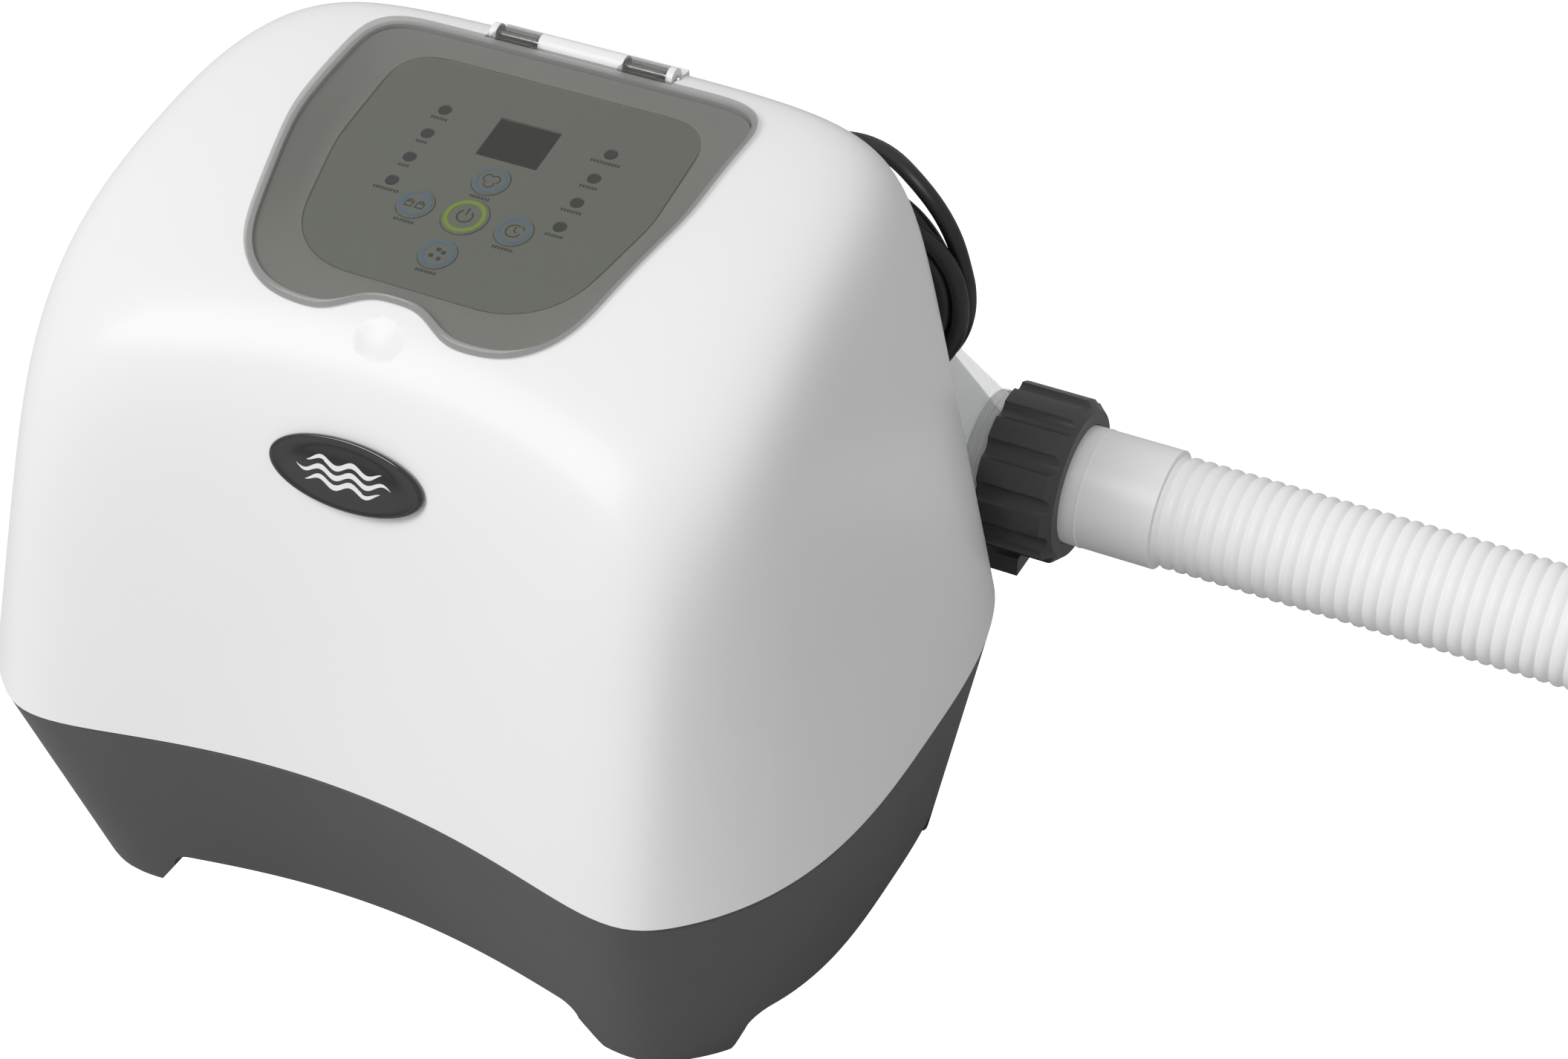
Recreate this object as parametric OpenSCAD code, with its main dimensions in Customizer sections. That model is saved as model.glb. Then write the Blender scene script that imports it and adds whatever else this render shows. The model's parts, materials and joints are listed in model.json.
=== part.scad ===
// Salt chlorine generator for a small above-ground pool: a moulded electronics housing with a keypad
// under a clear flap, and behind it a clear flow vessel with a plug-in electrolytic cell, a flow
// sensor, a screwed 38 mm hose and a power cord.
// Frame: X to the right along the vessel, Y to the back, Z up. Z = 0 is the floor, X = 0 is the
// symmetry plane of the housing, and Y = 0 is the middle of the depth.

/* [Housing] */
// Width of the housing at the seam with the base
housing_w = 360; // [340:2:380]
// Height of the seam between the base and the upper housing
seam_z = 104; // [98:1:110]
// Height of the top of the dome
top_z = 304; // [298:1:310]
// Radius of the dome, front to back
dome_r = 313; // [280:1:360]
// Depth of the hollow in the front, at its middle
front_hollow = 22; // [14:1:26]
// Wall thickness of the mouldings
wall = 3.5; // [2.5:0.5:4.5]

/* [Base] */
// Height of the arches between the feet
foot_h = 24; // [18:1:30]
// Share of its width that the base keeps at the floor
base_taper_x = 0.9; // [0.86:0.01:0.94]
// Share of its depth that the base keeps at the floor
base_taper_y = 0.78; // [0.74:0.01:0.84]
// Distance between the two floor bolts
bolt_span = 236; // [220:2:240]
// Diameter of the floor bolt holes
bolt_d = 6.4; // [5.5:0.1:8.5]

/* [Keypad] */
// Slope of the keypad, down to the front
panel_tilt = 13.2; // [11:0.1:15]
// Diameter of the four round buttons
button_d = 14; // [11:0.5:15]
// Diameter of the power button
power_d = 17.5; // [15:0.5:18]
// Travel of a button
button_travel = 0.8; // [0.4:0.1:1]

/* [Lid] */
// Thickness of the clear flap
lid_t = 2.2; // [1.8:0.1:3]
// Widest half-width of the flap
lid_half_w = 82; // [79:1:84]

/* [Vessel] */
// Outer diameter of the clear vessel
vessel_d = 80; // [78:1:82]
// Inner diameter of the two ports
port_bore_d = 38; // [36:0.5:40]
// Outer diameter of the port thread
port_thread_d = 55; // [53:0.5:56]
// Length of the vessel, port to port
vessel_len = 344; // [336:2:348]

/* [Hose] */
// Outer diameter of the corrugated hose
hose_d = 45; // [43:0.5:46]
// Outer diameter of the hose nuts
nut_d = 67; // [65:0.5:69]

/* [Power cord] */
// Diameter of the power cord
cord_d = 6.8; // [6:0.2:7.4]

/* [Hidden] */
$fn = 48;

// ---- Housing surface: seen from one point inside, at the seam, every direction meets it once.
eye_y = -42;                 // the inside point, on X = 0 at seam_z
half_w = housing_w / 2;
front_b = 159;               // half-depths of the rounded plan
back_b = 156;
plan_power = 3;              // 2 is an ellipse, larger is squarer
side_lean = 0.25;            // how fast each flank closes in towards the top
back_lean = 0.19;
front_lean = 0.27;
lean_ref = 225;
front_y = -161;              // hollow front at the seam, in the middle
front_slope = 0.22;          // leans back by this much per unit of height
hollow_x = 114;              // where the hollow is as deep as front_hollow says
back_y = 73;                 // flat back at the seam
back_slope = 0.074;
dome_y = 35;                 // the highest line of the dome
badge_at = [0, -134.3, 227]; // middle of the back of the badge
badge_tilt = 17;
soft_top = 12;               // blend sharpness of each edge, larger is sharper
soft_back = 13;
soft_front = 14;

// ---- Base
boss_spots = [[-112, -100], [112, -100], [-126, -16], [126, -16]];
pad_spots = [[116, -135.5], [124, 30]];
pad_r = 6.5;
side_arch_y = -59;           // middle and width of the arch in each flank
side_arch_w = 136;
plate_spots = [[-78, -88], [78, -88], [-78, 8], [78, 8]];
power_z = foot_h + 12;       // underside of the power board
power_spots = [[-62, -78], [62, -78], [-62, -2], [62, -2]];
power_t = 1.6;

// ---- Keypad frame: origin on the keypad face, s up the slope, h off the face
panel_y = 20;
panel_z = 298.3;
panel_normal = [0, -sin(panel_tilt), cos(panel_tilt)];
button_spots = [[0, -71.5], [0, -52.7], [-20, -72], [20, -72], [0, -91]];
lamp_x = 34.2;
lamp_s = [-26, -38.8, -51.6, -64.2];
window_s = -32.3;
window_w = 25;
window_l = 20;
overlay_t = 0.6;
plate_t = 3;
board_h = -9;                // underside of the keypad board
board_spots = [[-54, -96], [54, -96], [-54, -15], [54, -15]];
board_t = 1.6;

// ---- Lid and hinge
hinge_y = 37;
bracket_z = 295;             // floor of the notch for the hinge bracket
hinge_z = 302.4;
hinge_r = 4;
pin_r = 1.3;
bar_half = 38;               // half-length of the hinge bar
knuckle_x = 26.5;            // middle of each lid knuckle
knuckle_w = 17;
lid_gap = 0.7;               // between the lid and the dome

// ---- Vessel and cell
vessel_y = 96;
vessel_z = 127;
vessel_r = vessel_d / 2;
vessel_wall = 4;
body_half = 115;             // half-length of the full-width part
cone_end = 140;              // where the cone meets the neck
thread_r = port_thread_d / 2;
trough_r = vessel_r + 5;
saddle_rows = [78, 120];      // Y of the screws under each saddle
neck_r = 34;                 // neck for the cell, towards +Y
neck_end = 150;
post_x = [-12, 12];          // the two electrode posts
collar_r = 42;
cap_end = 178;
sensor_x = -52;
sensor_z = 186;              // top of the sensor neck
sensor_gland_z = 205;        // where its cable enters the housing
cell_gland = [20, 190];      // X and Z where the cell cable enters the housing
terminal_at = [-100, 195];   // X and Z of the bonding terminal

// ---- Hose end fittings
nut_x0 = 150;
nut_x1 = 182;
cuff_end = 219;
cuff_r = 24;
hose_bore = 19;
hose_low = 23.3;              // middle of the hose where it lies on the floor
// Route of the hose: straight out, down to the floor, then one loop on it
hose_route = [[219, 96, 127], [300, 96, 127], [380, 96, 127], [420, 96, 126.5], [460, 96, 121],
    [500, 96, 106], [541, 96, 75], [583, 96, 44], [623, 96, 28], [668, 96, hose_low],
    [768, 69, hose_low], [841, -4, hose_low], [868, -104, hose_low], [841, -204, hose_low],
    [768, -277, hose_low], [668, -304, hose_low], [568, -277, hose_low], [495, -204, hose_low],
    [469, -104, 28], [484, -26, 34.5]];
end_yaw = 79;                // heading of the far fitting, from +X
hose_end = hose_route[len(hose_route) - 1];

// ---- Power cord: gland, one free loop, a tied coil, and a tail down to the plug
gland_at = [54, 63.5, 246];  // where its flange meets the back
coil_at = [97.5, 76, 209];
coil_outer = 43.5;
coil_inner = 23;
coil_w = 13.6;
cord_lead = [[54, 62, 246], [54, 84, 246], [57, 97, 246.6], [67, 105, 248], [82, 104, 251],
    [97, 96, 253.6], [111, 87, 252.4], [123, 82, 245.5], [131, 80, 235], [136, 79.4, 221]];
cord_tail = [[97.5, 72.6, 168.9], [84, 75, 169.6], [70, 84, 172.6], [58, 96, 174.6], [50, 110, 173],
    [47, 124, 166], [47, 138, 152], [50, 148, 130], [54, 154, 105], [58, 157, 75], [60, 159, 45],
    [58, 161, 20], [46, 163, 6], [28, 166, 3.9], [10, 168, 6], [-6, 168, 12]];
plug_at = [-6, 168, 14];

// ======== Functions ========

function soft_min(a, b, p) = pow(pow(a, -p) + pow(b, -p), -1 / p);

// Rounded plan at the seam: 1 on the outline, by direction
function plan_gauge(cx, cy, back) = pow(pow(abs(cx) / half_w, plan_power)
    + pow(abs(cy) / (cy < 0 ? front_b : back), plan_power), 1 / plan_power);

function flank_lean(cx, cy) = let (gx = pow(cx / half_w, 2), gy = pow(cy / 157, 2),
    share = gx / (gx + gy + 1e-9))
    side_lean * share + (cy < 0 ? front_lean : back_lean) * (1 - share);

function dome_hit(cy, cz) = let (oy = eye_y - dome_y, oz = seam_z - (top_z - dome_r),
    dd = cy * cy + cz * cz, od = oy * cy + oz * cz)
    cz < 0.02 ? 1e5 : (-od + sqrt(od * od - dd * (oy * oy + oz * oz - dome_r * dome_r))) / dd;

function hollow_hit(cx, cy, cz) = let (a = front_hollow * cx * cx / (hollow_x * hollow_x),
    b = cy - front_slope * cz, c = eye_y - front_y, disc = b * b - 4 * a * c)
    b < 0 && disc > 0 ? 2 * c / (-b + sqrt(disc)) : 1e5;

function back_hit(cy, cz) = cy + back_slope * cz > 0.001
    ? (back_y - eye_y) / (cy + back_slope * cz) : 1e5;

// Distance from the inside point to the surface in the direction (azimuth, elevation)
function housing_r(az, el) = let (cx = cos(el) * cos(az), cy = cos(el) * sin(az), cz = sin(el),
    flank = 1 / (plan_gauge(cx, cy, back_b) + flank_lean(cx, cy) * cz / lean_ref),
    domed = soft_min(flank, dome_hit(cy, cz), soft_top),
    backed = soft_min(domed, back_hit(cy, cz), soft_back))
    soft_min(backed, hollow_hit(cx, cy, cz), soft_front);

function housing_point(az, el, inset) = let (r = housing_r(az, el) - inset)
    [r * cos(el) * cos(az), eye_y + r * cos(el) * sin(az), seam_z + r * sin(el)];

// Outline of the plan at the seam, pulled in by inset, about the inside point
function seam_outline(inset, n = 72) = [for (i = [0:n - 1]) let (az = 360 * i / n,
    r = housing_r(az, 0) - inset) [r * cos(az), r * sin(az)]];

function catmull(p0, p1, p2, p3, t) = 0.5 * (2 * p1 + (p2 - p0) * t
    + (2 * p0 - 5 * p1 + 4 * p2 - p3) * t * t + (3 * p1 - p0 - 3 * p2 + p3) * t * t * t);

// A smooth curve through the points of a route
function smooth(r, n) = let (m = len(r) - 1)
    [for (i = [0:m - 1], k = [0:n - 1]) catmull(r[max(i - 1, 0)], r[i], r[i + 1],
        r[min(i + 2, m)], k / n), r[m]];

// The two triangles of a four-sided face
function halves(a, b, c, d) = [[a, b, c], [a, c, d]];

// The flat back at height z
function back_at(z) = back_y - back_slope * (z - seam_z);

function unit(v) = v / norm(v);

function heading(p, i) = unit(p[min(i + 1, len(p) - 1)] - p[max(i - 1, 0)]);

// ======== Shared shapes ========

// Blend of rings into one closed solid
module loft(rings) {
    n = len(rings[0]);
    m = len(rings);
    pts = [for (ring = rings, p = ring) p];
    sides = [for (j = [0:m - 2], i = [0:n - 1]) let (k = (i + 1) % n)
        each halves(j * n + i, (j + 1) * n + i, (j + 1) * n + k, j * n + k)];
    polyhedron(pts, concat(sides, [[for (i = [0:n - 1]) i]],
        [[for (i = [n - 1:-1:0]) (m - 1) * n + i]]), convexity = 6);
}

// Tube along a curve; sides are level with the heading
module tube(curve, d, sides = 8) {
    loft([for (i = [0:len(curve) - 1]) let (t = heading(curve, i),
        u = unit(cross(abs(t[2]) > 0.9 ? [1, 0, 0] : [0, 0, 1], t)), v = cross(t, u))
        [for (a = [0:sides - 1]) curve[i]
            + d / 2 * (cos(360 * a / sides) * u + sin(360 * a / sides) * v)]]);
}

// Hollow tube along a curve, as one closed surface
module hollow_tube(curve, d, bore, sides = 12) {
    m = len(curve);
    pts = [for (r = [d / 2, bore / 2], i = [0:m - 1]) let (t = heading(curve, i),
        u = unit(cross(abs(t[2]) > 0.9 ? [1, 0, 0] : [0, 0, 1], t)), v = cross(t, u))
        for (a = [0:sides - 1]) curve[i]
            + r * (cos(360 * a / sides) * u + sin(360 * a / sides) * v)];
    inner = m * sides;
    walls = [for (j = [0:m - 2], i = [0:sides - 1]) let (k = (i + 1) % sides)
        each halves(j * sides + i, (j + 1) * sides + i, (j + 1) * sides + k, j * sides + k)];
    bores = [for (q = walls) [inner + q[2], inner + q[1], inner + q[0]]];
    ends = [for (i = [0:sides - 1]) let (k = (i + 1) % sides, last = (m - 1) * sides)
        each [[i, k, inner + k, inner + i],
            [last + k, last + i, inner + last + i, inner + last + k]]];
    polyhedron(pts, concat(walls, bores, ends), convexity = 8);
}

// Closed dome of the housing, pulled in by inset, reaching drop below the seam
module housing_solid(inset, drop, around, up) {
    foot = [for (i = [0:around - 1]) let (p = housing_point(360 * i / around, 0, inset))
        [p[0], p[1], seam_z - drop]];
    grid = [for (j = [0:up - 1]) [for (i = [0:around - 1])
        housing_point(360 * i / around, 88.5 * j / (up - 1), inset)]];
    loft(drop > 0 ? concat([foot], grid) : grid);
}

module x_rod(x0, x1, r, y = vessel_y, z = vessel_z)
    translate([x0, y, z]) rotate([0, 90, 0]) cylinder(h = x1 - x0, r = r);

module y_rod(y0, y1, r, x = 0, z = vessel_z)
    translate([x, y1, z]) rotate([90, 0, 0]) cylinder(h = y1 - y0, r = r);

module z_rod(z0, z1, r, x = 0, y = 0) translate([x, y, z0]) cylinder(h = z1 - z0, r = r);

module block(x, y, z) translate([x[0], y[0], z[0]]) cube([x[1] - x[0], y[1] - y[0], z[1] - z[0]]);

// Ring of round section around an axis along Z
module o_ring(r, section) rotate_extrude() translate([r, 0]) circle(r = section, $fn = 24);

module on_panel(s = 0, h = 0, x = 0)
    translate([0, panel_y, panel_z]) rotate([panel_tilt, 0, 0]) translate([x, s, h]) children();

// Screw with its head at z = 0, head down, shank up
module screw(length, shank = 1.5, head = 3.2) {
    cylinder(h = 2.2, r = head);
    cylinder(h = length, r = shank);
}

// Flap outline on the keypad frame, pulled in by inset
module lid_outline(inset = 0) {
    hull() for (side = [-1, 1]) {
        translate([side * (lid_half_w - 14), -3]) circle(r = 14 - inset, $fn = 32);
        translate([side * (lid_half_w - 31), -50]) circle(r = 30 - inset, $fn = 32);
        translate([side * (lid_half_w - 43), -97]) circle(r = 31 - inset, $fn = 32);
    }
}

// Outline of the printed keypad
module keypad_outline(inset = 0) {
    hull() for (side = [-1, 1]) {
        translate([side * 50, -16]) circle(r = 13.5 - inset, $fn = 32);
        translate([side * 40, -50]) circle(r = 24 - inset, $fn = 32);
        translate([side * 27, -78]) circle(r = 31 - inset, $fn = 32);
    }
}

// Opening under the flap, with a ledge for the keypad plate
module keypad_pocket() {
    on_panel(0, -plate_t) linear_extrude(height = 40) lid_outline(6);
    on_panel(0, -40) linear_extrude(height = 60) lid_outline(10);
}

// What stays solid around the opening, the hinge bracket and the finger scoop
module pocket_frame() {
    on_panel(0, -plate_t - 3) linear_extrude(height = 40) lid_outline(3);
    block([-bar_half - 5, bar_half + 5], [27, 52], [bracket_z - 4, top_z + 5]);
    finger_scoop(4);
}

module lobed_nut(x0, x1, bore_r, lip_r) {
    difference() {
        union() {
            x_rod(x0, x1 - 4, nut_d / 2, 0, 0);
            translate([x1 - 4, 0, 0]) rotate([0, 90, 0])
                cylinder(h = 4, r1 = nut_d / 2, r2 = nut_d / 2 - 3.5);
        }
        x_rod(x0 - 1, x1 - 5, bore_r, 0, 0);
        x_rod(x0 - 1, x1 + 1, lip_r, 0, 0);
        for (i = [0:11]) rotate([30 * i + 15, 0, 0])
            x_rod(x0 - 1, x1 + 1, 5, 0, nut_d / 2 + 2.6);
    }
}

module hose_fitting(x0, x1) {
    difference() {
        union() {
            x_rod(x0, x1, cuff_r, 0, 0);
            x_rod(x0, x0 + 4, thread_r - 1, 0, 0);
        }
        x_rod(x0 - 1, x1 + 1, hose_bore, 0, 0);
        x_rod(x0 + 16, x1 + 1, hose_d / 2 - 1.5, 0, 0);
    }
}

// ======== Housing ========

module upper_housing() color([0.93, 0.93, 0.93]) {
    difference() {
        housing_solid(0, 0, 60, 15);
        difference() {
            housing_solid(wall + 1, 2, 36, 8);
            x_rod(-200, 200, trough_r + wall);
            pocket_frame();
            for (spot = boss_spots) z_rod(seam_z - 5, top_z, 7, spot[0], spot[1]);
        }
        x_rod(-200, 200, trough_r);
        keypad_pocket();
        finger_scoop();
        block([-bar_half - 1, bar_half + 1], [31, 47.3], [bracket_z, top_z + 20]);
        for (spot = boss_spots) z_rod(seam_z - 5, seam_z + 14, 1.6, spot[0], spot[1]);
        y_rod(40, 90, 8, gland_at[0], gland_at[2]);
        y_rod(40, 90, 5, cell_gland[0], cell_gland[1]);
        y_rod(40, 90, 5, sensor_x, sensor_gland_z);
        y_rod(40, 90, 3, terminal_at[0], terminal_at[1]);
        for (x = [-82:24:-10]) block([x, x + 12], [30, 80], [246, 250]);
        for (x = [-82:24:-10]) block([x, x + 12], [30, 80], [256, 260]);
    }
}

module finger_scoop(grow = 0) translate([0, -106, 289]) sphere(r = 24 + grow);

module hinge_bracket() color([0.93, 0.93, 0.93]) {
    difference() {
        union() {
            x_rod(-bar_half, bar_half, hinge_r, hinge_y, hinge_z);
            block([-bar_half, bar_half], [33.2, 47], [bracket_z, 301]);
        }
        for (side = [-1, 1]) {
            x_rod(side * knuckle_x - knuckle_w / 2 - 0.4, side * knuckle_x + knuckle_w / 2 + 0.4,
                5.2, hinge_y, hinge_z);
            x_rod(side * knuckle_x - knuckle_w / 2 - 5, side * knuckle_x + knuckle_w / 2 + 5,
                pin_r, hinge_y, hinge_z);
            block([side * knuckle_x - knuckle_w / 2 - 0.4, side * knuckle_x + knuckle_w / 2 + 0.4],
                [30, hinge_y], [296.4, 310]);
        }
    }
}

module hinge_pins() color("silver") {
    for (side = [-1, 1]) x_rod(side * knuckle_x - knuckle_w / 2 - 4.5,
        side * knuckle_x + knuckle_w / 2 + 4.5, pin_r, hinge_y, hinge_z);
}

module lid() color([0.45, 0.47, 0.44, 0.55]) {
    under = dome_r + lid_gap;
    difference() {
        union() {
            intersection() {
                difference() {
                    x_rod(-100, 100, under + lid_t, dome_y, top_z - dome_r);
                    x_rod(-101, 101, under, dome_y, top_z - dome_r);
                }
                on_panel(0, -10) linear_extrude(height = 60) lid_outline();
            }
            intersection() {
                difference() {
                    x_rod(-100, 100, under + 1, dome_y, top_z - dome_r);
                    x_rod(-101, 101, under - 3.4, dome_y, top_z - dome_r);
                }
                on_panel(0, -10) linear_extrude(height = 60) difference() {
                    lid_outline(7);
                    lid_outline(9);
                }
            }
            for (side = [-1, 1]) {
                x_rod(side * knuckle_x - knuckle_w / 2, side * knuckle_x + knuckle_w / 2,
                    hinge_r, hinge_y, hinge_z);
                block([side * knuckle_x - knuckle_w / 2, side * knuckle_x + knuckle_w / 2],
                    [28, hinge_y], [hinge_z + 2.4, hinge_z + 3.9]);
            }
        }
        for (side = [-1, 1]) x_rod(side * knuckle_x - 12, side * knuckle_x + 12, pin_r + 0.15,
            hinge_y, hinge_z);
        on_panel(-134, -30) cylinder(h = 80, r = 19);
        block([-110, 110], [32.8, 80], [270, hinge_z + 0.5]);
        for (x = [[-110, -knuckle_x - knuckle_w / 2], [-knuckle_x + knuckle_w / 2,
            knuckle_x - knuckle_w / 2], [knuckle_x + knuckle_w / 2, 110]])
            block(x, [32.8, 80], [hinge_z, 330]);
    }
}

// ======== Keypad ========

module panel_plate() color([0.8, 0.81, 0.8]) {
    on_panel(0, -plate_t) difference() {
        union() {
            linear_extrude(height = plate_t) lid_outline(6.3);
            for (spot = board_spots) translate([spot[0], spot[1], board_h + board_t + plate_t])
                cylinder(h = -board_h - board_t - plate_t + 1, r = 3);
        }
        for (spot = board_spots) translate([spot[0], spot[1], -8]) cylinder(h = 9, r = 1.6);
        for (i = [0:4]) translate([button_spots[i][0], button_spots[i][1], -1])
            cylinder(h = plate_t + 2, r = (i == 0 ? power_d : button_d) / 2 + 0.3);
        for (s = lamp_s, side = [-1, 1]) translate([side * lamp_x, s, -1])
            cylinder(h = plate_t + 2, r = 2.6);
        translate([-window_w / 2, window_s - window_l / 2, -1]) cube([window_w, window_l, 9]);
    }
}

module keypad_overlay() color([0.45, 0.46, 0.44]) {
    on_panel() difference() {
        linear_extrude(height = overlay_t) keypad_outline();
        for (i = [0:4]) translate([button_spots[i][0], button_spots[i][1], -1])
            cylinder(h = 3, r = (i == 0 ? power_d : button_d) / 2 + 0.3);
        for (s = lamp_s, side = [-1, 1]) translate([side * lamp_x, s, -1])
            cylinder(h = 3, r = 2.6);
        translate([-window_w / 2, window_s - window_l / 2, -1]) cube([window_w, window_l, 9]);
    }
}

module display_window() color([0.08, 0.08, 0.1, 0.7])
    on_panel(window_s, -1.6) translate([-window_w / 2 + 0.2, -window_l / 2 + 0.2, 0])
        cube([window_w - 0.4, window_l - 0.4, 1.6]);

// Two seven-bar digits behind the window
module display_digits() color([0.35, 0.1, 0.1]) {
    on_panel(window_s, -4.6) for (x = [-5.5, 5.5]) {
        for (s = [-5.5, 0, 5.5]) translate([x - 2.6, s - 0.7, 0]) cube([5.2, 1.4, 2.6]);
        for (u = [-3.6, 3.6], s = [-2.75, 2.75]) translate([x + u - 0.7, s - 1.9, 0])
            cube([1.4, 3.8, 2.6]);
    }
}

module indicator_lamps() color([0.2, 0.2, 0.26]) {
    on_panel(0, board_h + board_t) for (s = lamp_s, side = [-1, 1]) translate([side * lamp_x, s, 0])
        cylinder(h = -board_h - board_t + 0.2, r = 2.3);
}

module button(i, d, tint) color(tint) {
    on_panel(button_spots[i][1], -plate_t, button_spots[i][0]) {
        cylinder(h = plate_t + overlay_t + 0.4, r = d / 2);
        translate([0, 0, -2]) cylinder(h = 2.5, r = 1.8);
    }
}

module power_button() button(0, power_d, [0.55, 0.65, 0.3]);
module boost_button() button(1, button_d, [0.42, 0.48, 0.52]);
module lock_button() button(2, button_d, [0.42, 0.48, 0.52]);
module timer_button() button(3, button_d, [0.42, 0.48, 0.52]);
module clean_button() button(4, button_d, [0.42, 0.48, 0.52]);

module control_board() color([0.1, 0.4, 0.2]) {
    on_panel(0, board_h) {
        difference() {
            translate([-60, -104, 0]) cube([120, 96, board_t]);
            for (spot = board_spots) translate([spot[0], spot[1], -1]) cylinder(h = 4, r = 1.7);
        }
        translate([-window_w / 2 + 1, window_s - 9, board_t])
            cube([window_w - 2, 18, -4.6 - board_h - board_t]);
        for (x = [-25, 25]) translate([x - 6, -30, -1.5]) cube([12, 8, 1.5]);
    }
}

module tact_switches() color([0.15, 0.15, 0.16]) {
    on_panel(0, board_h + board_t) for (spot = button_spots) translate([spot[0], spot[1], 0]) {
        translate([-2.5, -2.5, 0]) cube([5, 5, 0.9]);
        cylinder(h = 1.5, r = 1.4);
    }
}

module control_board_screws() color("silver") {
    on_panel(0, board_h - 2.2) for (spot = board_spots) translate([spot[0], spot[1], 0])
        screw(length = 7.2, head = 2.8);
}

module badge() color([0.06, 0.06, 0.06]) {
    translate(badge_at) rotate([90 - badge_tilt, 0, 0]) linear_extrude(height = 2.8)
        polygon([for (i = [0:59]) [31 * cos(6 * i), 13 * sin(6 * i)]]);
}

// ======== Base ========

// Base outline tapered down to the floor
module base_solid(inset, z0, z1) {
    loft([for (z = [z0, z1]) let (k = (seam_z - z) / seam_z,
        fx = 1 - (1 - base_taper_x) * k, fy = 1 - (1 - base_taper_y) * k)
        [for (p = seam_outline(inset)) [p[0] * fx, eye_y + p[1] * fy, z]]]);
}

module base() color([0.33, 0.33, 0.34]) {
    $fn = 32;
    difference() {
        base_solid(0, 1.5, seam_z - 0.8);
        difference() {
            base_solid(wall, foot_h + 4, seam_z + 1);
            x_rod(-200, 200, trough_r + wall);
            for (spot = boss_spots) z_rod(20, seam_z + 2, 7, spot[0], spot[1]);
        }
        x_rod(-200, 200, trough_r);
        translate([0, 200, 0]) rotate([90, 0, 0]) linear_extrude(height = 600)
            arch_profile(180, foot_h, 24);
        translate([-300, side_arch_y, 0]) rotate([90, 0, 90]) linear_extrude(height = 600)
            arch_profile(side_arch_w, foot_h, 4);
        for (i = [0:9]) rear_slot(-45 + 10 * i, 45);
        for (spot = plate_spots) z_rod(20, foot_h + 5, 1.6, spot[0], spot[1]);
        block([-112.3, 112.3], [40, 90], [59.7, 68.3]);
        block([-74, 74], [-84, 4], [15, foot_h + 5]);
        for (side = [-1, 1], spot = pad_spots) z_rod(0, 3, pad_r + 0.1, side * spot[0], spot[1]);
        for (spot = boss_spots) {
            z_rod(20, seam_z, 1.8, spot[0], spot[1]);
            z_rod(20, 50, 4, spot[0], spot[1]);
        }
    }
}

// Arch with slanting sides and soft upper corners; w is its width at the top
module arch_profile(w, h, flare) polygon([[-w / 2 - flare / 2, -1], [w / 2 + flare / 2, -1],
    for (a = [0:15:90]) [w / 2 - 8 + 8 * cos(a), h - 8 + 8 * sin(a)],
    for (a = [90:15:180]) [-w / 2 + 8 + 8 * cos(a), h - 8 + 8 * sin(a)]]);

// Upright slot with round ends through the back of the base
module rear_slot(x, z) hull() for (dz = [0, 10]) y_rod(30, 90, 1.6, x, z + dz);

// Deck, two legs and three ribs that carry the vessel, with an ear for each floor bolt
module rear_shelf() color([0.33, 0.33, 0.34]) {
    difference() {
        union() {
            block([-112, 112], [42, 132], [60, 68]);
            for (side = [-1, 1]) {
                block([side * 100 - 9, side * 100 + 9], [66, 130], [0, 61]);
                block([side * 113 - 9, side * 113 + 9], [71, 93], [0, 7]);
                z_rod(0, 7, 11, side * bolt_span / 2, 82);
            }
            for (x = [-50, 0, 50]) block([x - 3, x + 3], [66, 130], [40, 61]);
        }
        for (side = [-1, 1]) {
            z_rod(-5, 20, bolt_d / 2, side * bolt_span / 2, 82);
            for (y = saddle_rows) z_rod(40, 80, 1.6, side * 80, y);
        }
    }
}

// Service plate under the base, with the posts of the power board
module base_plate() color([0.28, 0.28, 0.29]) {
    difference() {
        union() {
            block([-82, 82], [-92, 12], [foot_h - 2.4, foot_h]);
            for (spot = power_spots) z_rod(foot_h - 1, power_z, 4, spot[0], spot[1]);
        }
        for (x = [-42:14:42], y = [-64, -40, -16]) block([x - 2, x + 2], [y - 9, y + 9], [0, 60]);
        for (spot = concat(power_spots, plate_spots)) z_rod(0, 60, 1.6, spot[0], spot[1]);
    }
}

module foot_pads() color([0.08, 0.08, 0.08]) {
    for (side = [-1, 1], spot = pad_spots) z_rod(0, 3, pad_r, side * spot[0], spot[1]);
}

module seam_gasket() color([0.1, 0.1, 0.1]) {
    translate([0, eye_y, seam_z - 0.8]) difference() {
        linear_extrude(height = 0.8) polygon(seam_outline(0.8));
        translate([0, 0, -1]) linear_extrude(height = 3) polygon(seam_outline(2.8));
        translate([0, -eye_y, 0.8 - seam_z]) x_rod(-200, 200, trough_r);
    }
}

module housing_screws() color("silver") {
    for (spot = boss_spots) translate([spot[0], spot[1], 47.8]) screw(length = 68);
    for (spot = plate_spots) translate([spot[0], spot[1], foot_h - 4.6]) screw(length = 8);
}

// ======== Electronics ========

module power_board() color([0.1, 0.4, 0.2]) {
    difference() {
        block([-70, 70], [-84, 4], [power_z, power_z + power_t]);
        for (spot = power_spots) z_rod(0, 90, 1.7, spot[0], spot[1]);
    }
}

module power_board_screws() color("silver") {
    for (spot = power_spots) translate([spot[0], spot[1], power_z + power_t + 2.2])
        rotate([180, 0, 0]) screw(length = 10, head = 3);
}

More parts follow.
